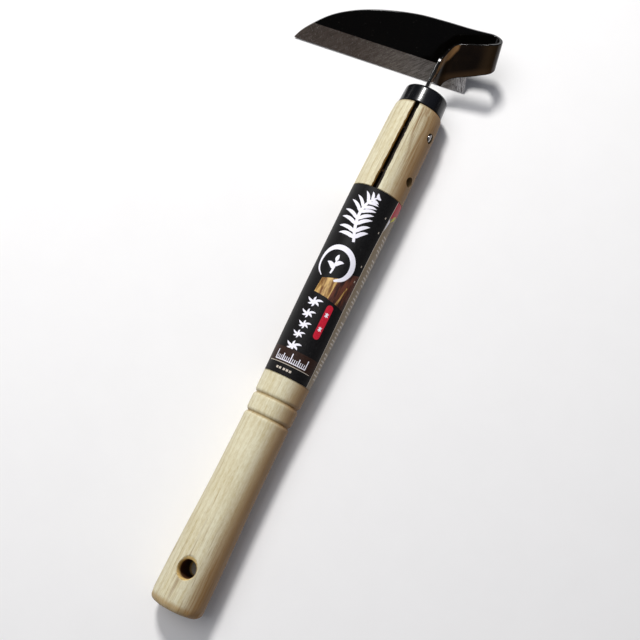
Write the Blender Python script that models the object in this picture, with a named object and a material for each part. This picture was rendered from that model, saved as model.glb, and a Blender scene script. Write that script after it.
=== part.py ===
"""Hand sickle with a cranked one-piece steel head, lying on a flat surface.

The tool is drawn upright first (tool frame): the handle's axis is Z, the butt is at z = 0
and the head is at the top. lay_down() then puts it on its back: +Y runs from the butt to
the head, +Z is up, and the blade's tip and the back of the handle meet the surface.
Lengths are in metres; the constants are in millimetres times MM.
"""
import bpy
import bmesh
import numpy as np
from math import acos, cos, pi, radians, sin, tan
from mathutils import Matrix, Vector

MM = 0.001

# ---- handle: turned wood ------------------------------------------------------------
HANDLE_TOP = 278.6 * MM            # end of the spigot inside the ferrule
BUTT_FACE_R = 10.2 * MM
# barrel outline: (height, radius)
BARREL = [(4, 13.22), (20, 13.02), (40, 12.49), (60, 11.94), (80, 11.72), (95, 11.66),
          (118, 12.06), (140, 12.56), (160, 12.91), (180, 13.12), (200, 13.3),
          (220, 13.38), (240, 13.23), (255, 13.09), (264, 12.9), (268, 12.6)]
BUTT_ROUND = 3.1 * MM              # rounded end of the butt
GROOVES = (97.5 * MM, 107.2 * MM)  # two decorative V grooves
GROOVE_HALF = 1.7 * MM
GROOVE_DEPTH = 1.1 * MM
SHOULDER = 269.8 * MM              # where the barrel stops below the ferrule
SHOULDER_R = 12.05 * MM
SPIGOT_R = 10.25 * MM
TURN_STEPS = 48

# ---- label: paper sleeve in a shallow seat --------------------------------------------
LABEL_LOW = 118.7 * MM
LABEL_HIGH = 220.4 * MM
LABEL_T = 0.35 * MM
LABEL_GAP = 0.28 * MM
LABEL_PROUD = 0.05 * MM
SEAT_MARGIN = 0.4 * MM

# ---- hanging hole ---------------------------------------------------------------------
HOLE_Z = 19.9 * MM
HOLE_R = 4.5 * MM
HOLE_ANGLE = -104.0                # direction of the bore about the handle, degrees
HOLE_FLARE = 1.8 * MM              # countersink around each mouth
HOLE_FLARE_DEPTH = 1.7 * MM

# ---- saw kerf that holds the tang ----------------------------------------------------
KERF_ANGLE = -99.0                 # direction of the open side about the handle, degrees
KERF_WALL = 0.4 * MM               # straight wall, from the plane through the handle's axis
KERF_WALL_TOP = -2.35 * MM         # slanting wall at the top of the handle
KERF_WALL_END = -3.45 * MM         # slanting wall at the kerf's closed end
KERF_FLOOR = 1.0 * MM
KERF_END = 203.0 * MM

# ---- ferrule: pressed steel cap --------------------------------------------------------
FERRULE_LOW = 270.2 * MM
FERRULE_HIGH = 280.0 * MM
FERRULE_R_LOW = 11.85 * MM
FERRULE_R_HIGH = 11.4 * MM
FERRULE_T = 0.8 * MM
FERRULE_ROUND = 1.5 * MM
FIT = 0.3 * MM                     # clearance between separate pieces

# ---- head: one sheet of steel, cut out flat, then bent twice ---------------------------
SHEET = 1.8 * MM
FACE_PITCH = 41.26                 # blade face against the handle's axis, degrees
FACE_YAW = 7.59
BEND_SKEW = 17.03                  # bend axis against the blade's own width, degrees
BEND_START = Vector((15.94, -9.15, 321.08)) * MM   # spine end of the first bend's start
BEND_R = 5.63 * MM                 # outside radius of the hairpin bend
CRANK_R = 6.0 * MM                 # radius on the outer face of the second bend
TANG_OFFSET = -0.8 * MM            # middle of the tang from the handle's axis
EDGE_T = 0.35 * MM                 # thickness left at the cutting edge

# flat outline of the blade from the bend: (along, across), millimetres
SPINE = [(0, 0), (-10, -0.25), (-24, -1.2), (-38, -1.75), (-50, -0.9), (-61, 0.75),
         (-72, 3.6), (-82, 7.9), (-90.5, 13.9), (-96.5, 19.4), (-99.6, 23.6)]
TIP = (-99.6, 23.6)
HEEL = (-5.0, 34.4)
HEEL_ROUND = 1.8
HEEL_SIDE_TOP = (-7.4, 21.5)
HEEL_NOTCH = [(-7.3, 18.6), (-5.4, 15.4), (-2.4, 13.8), (0, 13.2)]
BEVEL_AT_TIP = (-90.3, 13.7)       # ends of the line where the ground bevel starts
BEVEL_AT_HEEL = (-6.0, 22.0)
# flat outline of the strap after the hairpin bend: (along, across), millimetres
STRAP_TOP = [(0, 2.4), (7, 3.9), (13, 5.0), (17, 6.2)]
STRAP_LOW = [(0, 18.3), (4.5, 20.0), (9, 21.5), (13.2, 22.8), (16.4, 24.7), (18.6, 26.9),
             (19.3, 29.1)]
# outline of the tang in the kerf's plane: (towards the open side, height), millimetres
NECK_TOP = [(9.75, 299.5), (9.6, 295)]
TANG_NEAR = 9.6
TANG_NEAR_LOW = 8.0                # the tang steps back below the ferrule
TANG_STEP = (276.5, 269.0)
TANG_FAR_NECK = 5.0
TANG_FAR = 1.7
NECK_CORNER = 285.4
NECK_SPREAD = (276.0, 266.0)
TANG_END = 212.0
TANG_POINT = 4.0
BEND_FACETS = 20
CRANK_FACETS = 10

# ---- nails ------------------------------------------------------------------------------
NAIL_HEIGHTS = {"nail_upper": 257.3 * MM, "nail_lower": 232.3 * MM}
NAIL_LINE = 5.3 * MM               # nails cross the kerf's plane this far from the axis
NAIL_R = 1.25 * MM
NAIL_HEAD_R = 2.1 * MM
NAIL_HEAD_T = 1.1 * MM
NAIL_LENGTH = 21.0 * MM
NAIL_POINT = 3.0 * MM
NAIL_SINK = {"nail_upper": -0.25 * MM, "nail_lower": 2.2 * MM}
NAIL_SEAT_R = 2.6 * MM
NAIL_HOLE_R = 1.6 * MM
NAIL_HOLE_SPARE = 1.5 * MM         # bore left beyond the nail's point
CLEAR = 2.0 * MM                   # how far cutters reach past the surfaces they cut

AXIS_Z = Vector((0, 0, 1))
SMOOTH_ANGLE = radians(38)


# ---- small helpers ------------------------------------------------------------------------
def clear_scene():
    for obj in list(bpy.data.objects):
        bpy.data.objects.remove(obj, do_unlink=True)


def material(name, colour, roughness, metallic):
    mat = bpy.data.materials.new(name)
    mat.use_nodes = True
    shader = mat.node_tree.nodes["Principled BSDF"]
    shader.inputs["Base Color"].default_value = (*colour, 1.0)
    shader.inputs["Roughness"].default_value = roughness
    shader.inputs["Metallic"].default_value = metallic
    return mat


def add_object(name, bm, mat=None):
    bmesh.ops.recalc_face_normals(bm, faces=bm.faces)
    mesh = bpy.data.meshes.new(name)
    bm.to_mesh(mesh)
    bm.free()
    mesh.shade_smooth()
    mesh.set_sharp_from_angle(angle=SMOOTH_ANGLE)
    if mat:
        mesh.materials.append(mat)
    obj = bpy.data.objects.new(name, mesh)
    bpy.context.scene.collection.objects.link(obj)
    return obj


def turned(profile, steps):
    """Solid of revolution about Z from (radius, height) points that start and end on Z
    or form a closed ring."""
    bm = bmesh.new()
    verts = [bm.verts.new((r, 0.0, z)) for r, z in profile]
    edges = [bm.edges.new(pair) for pair in zip(verts, verts[1:])]
    if profile[0][0] > 0.0:
        edges.append(bm.edges.new((verts[-1], verts[0])))
    bmesh.ops.spin(bm, geom=verts + edges, cent=(0, 0, 0), axis=(0, 0, 1),
                   angle=2 * pi, steps=steps, use_merge=True, use_duplicate=False)
    bmesh.ops.remove_doubles(bm, verts=bm.verts, dist=0.002 * MM)
    return bm


def round_bar(radius, length, steps=24):
    """Cylinder from z = 0 to z = length."""
    bm = bmesh.new()
    bmesh.ops.create_cone(bm, cap_ends=True, segments=steps, radius1=radius,
                          radius2=radius, depth=length,
                          matrix=Matrix.Translation((0, 0, length / 2)))
    return bm


def cut(target, bm, matrix, name):
    """Boolean difference with a cutter drawn in its own frame."""
    cutter = add_object(name, bm)
    cutter.matrix_world = matrix
    cutter.hide_render = True
    cutter.display_type = "WIRE"
    mod = target.modifiers.new(name, "BOOLEAN")
    mod.operation = "DIFFERENCE"
    mod.solver = "EXACT"
    mod.object = cutter
    return cutter


def smooth_through(points, per_span=4):
    """Centripetal curve through the points, as a denser list of points."""
    pts = [np.array(p, float) for p in points]
    pts = [2 * pts[0] - pts[1]] + pts + [2 * pts[-1] - pts[-2]]
    out = [tuple(pts[1])]
    for i in range(1, len(pts) - 2):
        p0, p1, p2, p3 = pts[i - 1:i + 3]
        t1 = np.linalg.norm(p1 - p0) ** 0.5
        t2 = t1 + np.linalg.norm(p2 - p1) ** 0.5
        t3 = t2 + np.linalg.norm(p3 - p2) ** 0.5
        for k in range(1, per_span + 1):
            t = t1 + (t2 - t1) * k / per_span
            a1 = (t1 - t) / t1 * p0 + t / t1 * p1
            a2 = (t2 - t) / (t2 - t1) * p1 + (t - t1) / (t2 - t1) * p2
            a3 = (t3 - t) / (t3 - t2) * p2 + (t - t2) / (t3 - t2) * p3
            b1 = (t2 - t) / t2 * a1 + t / t2 * a2
            b2 = (t3 - t) / (t3 - t1) * a2 + (t - t1) / (t3 - t1) * a3
            out.append(tuple((t2 - t) / (t2 - t1) * b1 + (t - t1) / (t2 - t1) * b2))
    return out


def rounded_corner(before, corner, after, radius, steps=5):
    """Points of a round between two straight sides."""
    c = Vector(corner)
    a = (Vector(before) - c).normalized()
    b = (Vector(after) - c).normalized()
    half = a.angle(b) / 2
    centre = c + (a + b).normalized() * radius / sin(half)
    start = c + a * radius / tan(half) - centre
    end = c + b * radius / tan(half) - centre
    return [tuple(centre + start.slerp(end, k / steps)) for k in range(steps + 1)]


# ---- tool frame directions --------------------------------------------------------------
def direction(angle):
    return Vector((cos(radians(angle)), sin(radians(angle)), 0.0))


OPEN_SIDE = direction(KERF_ANGLE)               # out of the kerf
TANG_NORMAL = direction(KERF_ANGLE + 90.0)      # square to the kerf's plane
pitch, yaw, skew = radians(FACE_PITCH), radians(FACE_YAW), radians(BEND_SKEW)
FACE = Vector((sin(yaw) * cos(pitch), -cos(yaw) * cos(pitch), -sin(pitch)))
LEVEL = Vector((cos(yaw), sin(yaw), 0.0))
FALL = LEVEL.cross(FACE)
FALL = FALL if FALL.z < 0 else -FALL
ALONG = LEVEL * cos(skew) - FALL * sin(skew)    # along the blade, tip to bend
ACROSS = LEVEL * sin(skew) + FALL * cos(skew)   # spine to cutting edge


# ---- the folded sheet --------------------------------------------------------------------
BEND_LENGTH = pi * BEND_R
STRAP_ORIGIN = BEND_START + FACE * (2 * BEND_R)
TANG_PLANE = TANG_OFFSET + SHEET / 2            # outer face of the tang
CRANK_AXIS = TANG_NORMAL.cross(FACE).normalized()
CRANK_AXIS = CRANK_AXIS if CRANK_AXIS.z < 0 else -CRANK_AXIS
CRANK_ANGLE = acos(FACE.dot(TANG_NORMAL))
CRANK_AHEAD = -(ALONG * CRANK_AXIS.dot(ACROSS) - ACROSS * CRANK_AXIS.dot(ALONG))
CRANK_SETBACK = CRANK_R * tan(CRANK_ANGLE / 2)
meet = (TANG_NORMAL.dot(STRAP_ORIGIN) - TANG_PLANE) / TANG_NORMAL.dot(ALONG)
CRANK_ORIGIN = STRAP_ORIGIN - ALONG * meet - CRANK_AHEAD * CRANK_SETBACK
CRANK_LENGTH = CRANK_R * CRANK_ANGLE
CRANK_OUT = CRANK_AHEAD * cos(CRANK_ANGLE) + FACE * sin(CRANK_ANGLE)
TANG_ORIGIN = (CRANK_ORIGIN + CRANK_AHEAD * CRANK_R * sin(CRANK_ANGLE)
               + FACE * CRANK_R * (1 - cos(CRANK_ANGLE)))


def folded(s, w):
    """Outer-face point and outward normal for the flat pattern's point (s, w)."""
    if s <= 0.0:
        return BEND_START + ALONG * s + ACROSS * w, -FACE
    if s < BEND_LENGTH:
        turn = s / BEND_R
        out = ALONG * sin(turn) - FACE * cos(turn)
        return BEND_START + FACE * BEND_R + out * BEND_R + ACROSS * w, out
    flat = STRAP_ORIGIN - ALONG * (s - BEND_LENGTH) + ACROSS * w
    ahead = (flat - CRANK_ORIGIN).dot(CRANK_AHEAD)
    if ahead <= 0.0:
        return flat, FACE.copy()
    base = flat - CRANK_AHEAD * ahead
    turn = min(ahead / CRANK_R, CRANK_ANGLE)
    normal = FACE * cos(turn) - CRANK_AHEAD * sin(turn)
    point = base + CRANK_AHEAD * CRANK_R * sin(turn) + FACE * CRANK_R * (1 - cos(turn))
    point += CRANK_OUT * max(ahead - CRANK_LENGTH, 0.0)
    return point, normal


def pattern_from_tang(near, height):
    """Flat pattern coordinates of a point in the tang's plane."""
    point = OPEN_SIDE * near + TANG_NORMAL * TANG_PLANE + AXIS_Z * height
    ahead = (point - TANG_ORIGIN).dot(CRANK_OUT) + CRANK_LENGTH
    along = (point - TANG_ORIGIN).dot(CRANK_AXIS)
    flat = CRANK_ORIGIN + CRANK_AHEAD * ahead + CRANK_AXIS * along
    return BEND_LENGTH - (flat - STRAP_ORIGIN).dot(ALONG), (flat - STRAP_ORIGIN).dot(ACROSS)


def head_pattern():
    """Outline of the flat sheet as one loop of points, in metres."""
    blade = [(s * MM, w * MM) for s, w in smooth_through(SPINE)]
    heel = rounded_corner(TIP, HEEL, HEEL_SIDE_TOP, HEEL_ROUND)
    notch = smooth_through([HEEL_SIDE_TOP] + HEEL_NOTCH, 3)
    lower = [(s * MM, w * MM) for s, w in heel + notch]
    low = [(BEND_LENGTH + s * MM, w * MM) for s, w in smooth_through(STRAP_LOW, 3)]
    top = [(BEND_LENGTH + s * MM, w * MM) for s, w in STRAP_TOP]
    top += [pattern_from_tang(k * MM, z * MM) for k, z in NECK_TOP]
    top = smooth_through(top, 4)
    tang = [(TANG_NEAR, TANG_STEP[0]), (TANG_NEAR_LOW, TANG_STEP[1]),
            (TANG_NEAR_LOW, TANG_END + TANG_POINT), (TANG_NEAR_LOW - TANG_POINT / 2, TANG_END),
            (TANG_FAR + TANG_POINT / 2, TANG_END), (TANG_FAR, TANG_END + TANG_POINT),
            (TANG_FAR, NECK_SPREAD[1]), (TANG_FAR_NECK, NECK_SPREAD[0]),
            (TANG_FAR_NECK, NECK_CORNER - 1.0), (TANG_FAR_NECK - 0.3, NECK_CORNER)]
    tang = [pattern_from_tang(k * MM, z * MM) for k, z in tang]
    # tip -> spine -> hairpin -> strap top -> tang -> shoulder -> strap low -> heel -> tip
    return blade[::-1] + top + tang + low[::-1] + lower[::-1]


def bevel_share(s, w):
    """0 on the bevel's start line and the body, 1 on the cutting edge."""
    start, end = Vector(BEVEL_AT_TIP) * MM, Vector(BEVEL_AT_HEEL) * MM
    tip, heel = Vector(TIP) * MM, Vector(HEEL) * MM
    point = Vector((s, w))

    def beyond(a, b):
        side = (b - a).normalized()
        return (point - a).dot(Vector((-side.y, side.x)))

    inner = beyond(start, end)
    outer = -beyond(tip, heel)
    if s > 0.0 or inner <= 0.0:
        return 0.0
    return inner / (inner + max(outer, 0.0))


def slice_faces(bm, keep, at, normal):
    """Cut the flat sheet's faces along a line, where all their corners pass keep(x)."""
    faces = [f for f in bm.faces if all(keep(v.co.x) for v in f.verts)]
    edges = list({e for f in faces for e in f.edges})
    verts = list({v for f in faces for v in f.verts})
    bmesh.ops.bisect_plane(bm, geom=faces + edges + verts, dist=0.001 * MM,
                           plane_co=(*at, 0), plane_no=(*normal, 0))


def build_head(mat):
    outline = head_pattern()
    bm = bmesh.new()
    bm.faces.new([bm.verts.new((s, w, 0.0)) for s, w in outline])
    cuts = [((i * BEND_LENGTH / BEND_FACETS, 0), (1, 0))
            for i in range(1, BEND_FACETS + 1)]
    ahead = Vector((-CRANK_AHEAD.dot(ALONG), CRANK_AHEAD.dot(ACROSS)))
    start = Vector((BEND_LENGTH - (CRANK_ORIGIN - STRAP_ORIGIN).dot(ALONG),
                    (CRANK_ORIGIN - STRAP_ORIGIN).dot(ACROSS)))
    for i in range(CRANK_FACETS + 1):
        at = start + ahead * (CRANK_LENGTH * i / CRANK_FACETS)
        cuts.append((tuple(at), tuple(ahead)))
    slice_faces(bm, lambda x: True, (0, 0), (1, 0))
    for at, normal in cuts:
        slice_faces(bm, lambda x: x > -0.01 * MM, at, normal)
    # the line where the ground bevel starts, across the blade only
    a, b = Vector(BEVEL_AT_TIP) * MM, Vector(BEVEL_AT_HEEL) * MM
    side = (b - a).normalized()
    slice_faces(bm, lambda x: x < 0.01 * MM, tuple(a), (-side.y, side.x))
    bmesh.ops.triangulate(bm, faces=bm.faces)

    pattern = {v: tuple(v.co.xy) for v in bm.verts}
    faces = [tuple(f.verts) for f in bm.faces]
    rim = [e for e in bm.edges if e.is_boundary]
    inner = {}
    for v, (s, w) in pattern.items():
        point, normal = folded(s, w)
        thick = SHEET + (EDGE_T - SHEET) * bevel_share(s, w)
        v.co = point
        inner[v] = bm.verts.new(point - normal * thick)
    for verts in faces:
        bm.faces.new([inner[v] for v in reversed(verts)])
    for e in rim:
        a, b = e.verts
        bm.faces.new((a, b, inner[b], inner[a]))
    bmesh.ops.triangulate(bm, faces=bm.faces)
    return add_object("blade", bm, mat)


# ---- handle, ferrule, label, nails --------------------------------------------------------
def barrel_radius(z):
    heights, radii = zip(*smooth_through(BARREL, 3))
    return float(np.interp(z / MM, heights, radii)) * MM


def handle_profile():
    pts = [(0.0, 0.0), (BUTT_FACE_R, 0.0)]
    start_r = barrel_radius(BUTT_ROUND)
    for k in range(1, 6):
        a = k / 5 * pi / 2
        pts.append((BUTT_FACE_R + (start_r - BUTT_FACE_R) * sin(a), BUTT_ROUND * (1 - cos(a))))
    plain = [9, 20, 32, 44, 56, 68, 80, 90]
    pts += [(barrel_radius(z * MM), z * MM) for z in plain]
    for centre in GROOVES:
        for part, depth in ((-1, 0), (-0.55, 0.25), (0, 1), (0.55, 0.25), (1, 0)):
            z = centre + part * GROOVE_HALF
            pts.append((barrel_radius(z) - depth * GROOVE_DEPTH, z))
    low, high = LABEL_LOW - SEAT_MARGIN, LABEL_HIGH + SEAT_MARGIN
    sink = LABEL_T + LABEL_GAP - LABEL_PROUD
    pts.append((barrel_radius(low), low))
    for k in range(9):
        z = low + (high - low) * k / 8
        pts.append((barrel_radius(z) - sink, z))
    pts.append((barrel_radius(high), high))
    pts += [(barrel_radius(z * MM), z * MM) for z in (230, 240, 250, 258, 264, 267)]
    pts += [(SHOULDER_R, SHOULDER), (SPIGOT_R, SHOULDER), (SPIGOT_R, HANDLE_TOP),
            (0.0, HANDLE_TOP)]
    return pts


def frame_matrix(origin, z_dir, x_hint):
    z = z_dir.normalized()
    x = (x_hint - z * x_hint.dot(z)).normalized()
    return Matrix.LocRotScale(origin, Matrix((x, z.cross(x), z)).transposed(), None)


def nail_axis(name):
    """Start point on the handle's side and direction into the wood."""
    reach = (barrel_radius(NAIL_HEIGHTS[name]) ** 2 - NAIL_LINE ** 2) ** 0.5
    start = OPEN_SIDE * NAIL_LINE + TANG_NORMAL * reach + AXIS_Z * NAIL_HEIGHTS[name]
    return start, -TANG_NORMAL


def build_handle(mat):
    handle = add_object("handle", turned(handle_profile(), TURN_STEPS), mat)
    # kerf: open towards OPEN_SIDE and at the top
    bm = bmesh.new()
    bmesh.ops.create_cube(bm, size=1.0)
    for v in bm.verts:
        at_top = v.co.z > 0
        slant = KERF_WALL_TOP if at_top else KERF_WALL_END
        across = KERF_WALL if v.co.x < 0 else slant
        reach = 2 * SPIGOT_R if v.co.y > 0 else KERF_FLOOR
        height = HANDLE_TOP + CLEAR if at_top else KERF_END
        v.co = TANG_NORMAL * across + OPEN_SIDE * reach + AXIS_Z * height
    cutters = [cut(handle, bm, Matrix.Identity(4), "cut_kerf")]
    # hanging hole with flared mouths
    axis = direction(HOLE_ANGLE)
    mouth = barrel_radius(HOLE_Z)
    wide = HOLE_R + HOLE_FLARE * (1 + CLEAR / HOLE_FLARE_DEPTH)
    ring = [(0.0, -mouth - CLEAR), (wide, -mouth - CLEAR),
            (HOLE_R, -mouth + HOLE_FLARE_DEPTH), (HOLE_R, mouth - HOLE_FLARE_DEPTH),
            (wide, mouth + CLEAR), (0.0, mouth + CLEAR)]
    place = frame_matrix(AXIS_Z * HOLE_Z, axis, AXIS_Z)
    cutters.append(cut(handle, turned(ring, 28), place, "cut_hole"))
    for name in NAIL_HEIGHTS:
        start, into = nail_axis(name)
        sink = max(NAIL_SINK[name], 0.0) + NAIL_HEAD_T + FIT
        end = NAIL_LENGTH + NAIL_HOLE_SPARE
        ring = [(0.0, -CLEAR), (NAIL_SEAT_R, -CLEAR), (NAIL_SEAT_R, sink),
                (NAIL_HOLE_R, sink), (NAIL_HOLE_R, end), (0.0, end)]
        place = frame_matrix(start, into, AXIS_Z)
        cutters.append(cut(handle, turned(ring, 20), place, "cut_" + name))
    return handle, cutters


def build_ferrule(mat):
    top_r = FERRULE_R_HIGH
    pts = [(FERRULE_R_LOW - FERRULE_T, FERRULE_LOW), (FERRULE_R_LOW, FERRULE_LOW)]
    for k in range(6):
        a = k / 5 * pi / 2
        pts.append((top_r - FERRULE_ROUND * (1 - cos(a)),
                    FERRULE_HIGH - FERRULE_ROUND * (1 - sin(a))))
    pts += [(0.0, FERRULE_HIGH), (0.0, FERRULE_HIGH - FERRULE_T)]
    inner = FERRULE_ROUND - FERRULE_T
    for k in range(4):
        a = (1 - k / 3) * pi / 2
        pts.append((top_r - FERRULE_T - inner * (1 - cos(a)),
                    FERRULE_HIGH - FERRULE_T - inner * (1 - sin(a))))
    # the ring starts on the axis so that both ends of the profile meet it
    start = pts.index((0.0, FERRULE_HIGH - FERRULE_T))
    ferrule = add_object("ferrule", turned(pts[start:] + pts[:start], TURN_STEPS), mat)
    slot_far = TANG_FAR_NECK * MM - 2 * FIT
    slot_near = TANG_NEAR * MM + 2 * FIT
    bm = bmesh.new()
    size = (SHEET + 2 * FIT, slot_near - slot_far, 2 * (FERRULE_T + CLEAR), 1)
    bmesh.ops.create_cube(bm, size=1.0, matrix=Matrix.Diagonal(size))
    centre = (OPEN_SIDE * (slot_near + slot_far) / 2 + TANG_NORMAL * TANG_OFFSET
              + AXIS_Z * FERRULE_HIGH)
    return ferrule, cut(ferrule, bm, frame_matrix(centre, AXIS_Z, TANG_NORMAL), "cut_slot")


def build_label(mat):
    heights = [LABEL_LOW + (LABEL_HIGH - LABEL_LOW) * k / 8 for k in range(9)]
    outer = [(barrel_radius(z) + LABEL_PROUD, z) for z in heights]
    inner = [(r - LABEL_T, z) for r, z in reversed(outer)]
    return add_object("label", turned(outer + inner, TURN_STEPS), mat)


def build_nail(name, mat):
    top = NAIL_SINK[name]
    dome = NAIL_HEAD_T / 2
    ring = [(0.0, top)]
    for k in range(1, 4):
        a = k / 3 * pi / 2
        ring.append((NAIL_HEAD_R * sin(a), top + dome * (1 - cos(a))))
    ring += [(NAIL_HEAD_R, top + NAIL_HEAD_T), (NAIL_R, top + NAIL_HEAD_T),
             (NAIL_R, NAIL_LENGTH - NAIL_POINT), (0.0, NAIL_LENGTH)]
    nail = add_object(name, turned(ring, 16), mat)
    start, into = nail_axis(name)
    nail.matrix_world = frame_matrix(start, into, AXIS_Z)
    return nail


def lay_down(pieces, helpers):
    """Put the tool on its back, with the middle of its footprint at the origin."""
    back = Matrix.Rotation(-pi / 2, 4, "X")
    for obj in pieces + helpers:
        obj.matrix_world = back @ obj.matrix_world
    bpy.context.view_layer.update()
    graph = bpy.context.evaluated_depsgraph_get()
    points = []
    for obj in pieces:
        mesh = obj.evaluated_get(graph).to_mesh()
        points += [obj.matrix_world @ v.co for v in mesh.vertices]
    cloud = np.array(points)
    low, high = cloud.min(axis=0), cloud.max(axis=0)
    shift = Matrix.Translation((-(low[0] + high[0]) / 2, -(low[1] + high[1]) / 2, -low[2]))
    for obj in pieces + helpers:
        obj.matrix_world = shift @ obj.matrix_world


def main():
    clear_scene()
    wood = material("pale_wood", (0.68, 0.56, 0.33), 0.55, 0.0)
    black = material("black_steel", (0.012, 0.012, 0.014), 0.22, 0.0)
    cap = material("ferrule_black", (0.015, 0.016, 0.02), 0.18, 0.0)
    print_black = material("label_print", (0.02, 0.02, 0.022), 0.4, 0.0)
    zinc = material("nail_steel", (0.55, 0.55, 0.57), 0.3, 1.0)

    head = build_head(black)
    handle, helpers = build_handle(wood)
    ferrule, slot = build_ferrule(cap)
    helpers.append(slot)
    label = build_label(print_black)
    nails = [build_nail(name, zinc) for name in NAIL_HEIGHTS]
    for name in NAIL_HEIGHTS:
        start, into = nail_axis(name)
        helpers.append(cut(head, round_bar(NAIL_HOLE_R, NAIL_LENGTH + 2 * CLEAR, 20),
                           frame_matrix(start - into * CLEAR, into, AXIS_Z),
                           "cut_tang_" + name))
    lay_down([head, handle, ferrule, label] + nails, helpers)


main()
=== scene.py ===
# Looks of the hand sickle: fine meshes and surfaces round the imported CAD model.
# Pieces are drawn upright in the tool frame (handle axis Z, butt at z = 0, head on top)
# and then laid on their back, where the CAD nodes' boxes say. Lengths are in metres;
# the constants are in millimetres times MM.
from math import acos, atan2, cos, degrees, hypot, pi, radians, sin, tan

import bmesh
import bpy
import numpy as np
from mathutils import Matrix, Vector, geometry, noise


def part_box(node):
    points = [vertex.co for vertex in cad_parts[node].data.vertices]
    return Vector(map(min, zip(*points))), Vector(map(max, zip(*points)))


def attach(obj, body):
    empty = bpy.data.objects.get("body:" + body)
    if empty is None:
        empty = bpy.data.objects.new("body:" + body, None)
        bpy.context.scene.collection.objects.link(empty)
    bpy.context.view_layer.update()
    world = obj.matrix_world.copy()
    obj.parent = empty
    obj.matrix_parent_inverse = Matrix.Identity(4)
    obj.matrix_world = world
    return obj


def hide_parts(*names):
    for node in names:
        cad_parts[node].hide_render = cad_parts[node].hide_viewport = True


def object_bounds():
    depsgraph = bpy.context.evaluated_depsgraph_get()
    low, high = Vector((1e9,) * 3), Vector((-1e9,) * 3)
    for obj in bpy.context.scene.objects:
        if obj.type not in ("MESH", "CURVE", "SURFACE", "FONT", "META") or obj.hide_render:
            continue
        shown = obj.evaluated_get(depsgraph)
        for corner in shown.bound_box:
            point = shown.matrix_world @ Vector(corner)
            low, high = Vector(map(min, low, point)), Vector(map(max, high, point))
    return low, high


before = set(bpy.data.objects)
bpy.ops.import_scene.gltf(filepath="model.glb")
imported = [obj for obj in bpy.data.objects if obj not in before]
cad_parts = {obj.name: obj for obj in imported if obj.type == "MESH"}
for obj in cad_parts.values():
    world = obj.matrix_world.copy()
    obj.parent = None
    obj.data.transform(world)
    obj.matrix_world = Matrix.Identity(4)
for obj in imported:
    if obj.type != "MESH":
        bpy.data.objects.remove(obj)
cad_low, cad_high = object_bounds()
MM = 0.001

cap_low, cap_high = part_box("ferrule")
AXIS_AT = Vector(((cap_low.x + cap_high.x) / 2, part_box("handle")[0].y,
                  (cap_low.z + cap_high.z) / 2))
TO_ROW = Matrix.Translation(AXIS_AT) @ Matrix.Rotation(-pi / 2, 4, "X")
TURN = TO_ROW.to_3x3()

# ---- handle -------------------------------------------------------------------------
HANDLE_TOP = 278.6 * MM
BUTT_FACE_R = 10.2 * MM
BARREL = [(4, 13.22), (20, 13.02), (40, 12.49), (60, 11.94), (80, 11.72), (95, 11.66),
          (118, 12.06), (140, 12.56), (160, 12.91), (180, 13.12), (200, 13.3),
          (220, 13.38), (240, 13.23), (255, 13.09), (264, 12.9), (268, 12.6)]
BUTT_ROUND = 3.1 * MM
GROOVES = (97.5 * MM, 107.2 * MM)
GROOVE_HALF = 1.7 * MM
GROOVE_DEPTH = 1.1 * MM
SHOULDER = 269.8 * MM
SHOULDER_R = 12.05 * MM
SPIGOT_R = 10.25 * MM
ROUND_STEPS = 144
WOBBLE = 0.07 * MM                 # how far the turned surface dips from a true round
RASP_FACETS = 13                   # flats left by the rasp round the butt's edge
FACET_DEPTH, FACET_REACH = 0.42 * MM, 4.6 * MM
CHIP_DEPTH, CHIP_REACH = 0.5 * MM, 5 * MM

LABEL_LOW = 118.7 * MM
LABEL_HIGH = 220.4 * MM
LABEL_T = 0.35 * MM
LABEL_GAP = 0.28 * MM
LABEL_PROUD = 0.05 * MM
SEAT_MARGIN = 0.4 * MM

HOLE_Z = 19.9 * MM
HOLE_R = 4.5 * MM
HOLE_ANGLE = -104.0
HOLE_FLARE = 1.8 * MM
HOLE_FLARE_DEPTH = 1.7 * MM
HOLE_FLARE_SHIFT = 0.9 * MM        # the flare was cut deeper on the head's side

KERF_ANGLE = -99.0
KERF_WALL = 0.4 * MM
KERF_WALL_TOP = -2.35 * MM
KERF_WALL_END = -3.45 * MM
KERF_FLOOR = 1.0 * MM
KERF_END = 203.0 * MM
KERF_TORN_FROM, KERF_TORN_HALF, KERF_TORN_FULL = 10.4 * MM, 11.7 * MM, 12.7 * MM
KERF_MOUTH = 22 * MM
KERF_ROUGH_ABOVE = 250 * MM        # the tears are twice as deep near the head
RAW_BELOW = 0.35 * MM              # wood this far under the turned surface is a cut face

FERRULE_LOW = 270.2 * MM
FERRULE_HIGH = 280.0 * MM
FERRULE_R_LOW = 11.85 * MM
FERRULE_R_HIGH = 11.4 * MM
FERRULE_T = 0.8 * MM
FERRULE_ROUND = 1.5 * MM
FIT = 0.3 * MM

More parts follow.
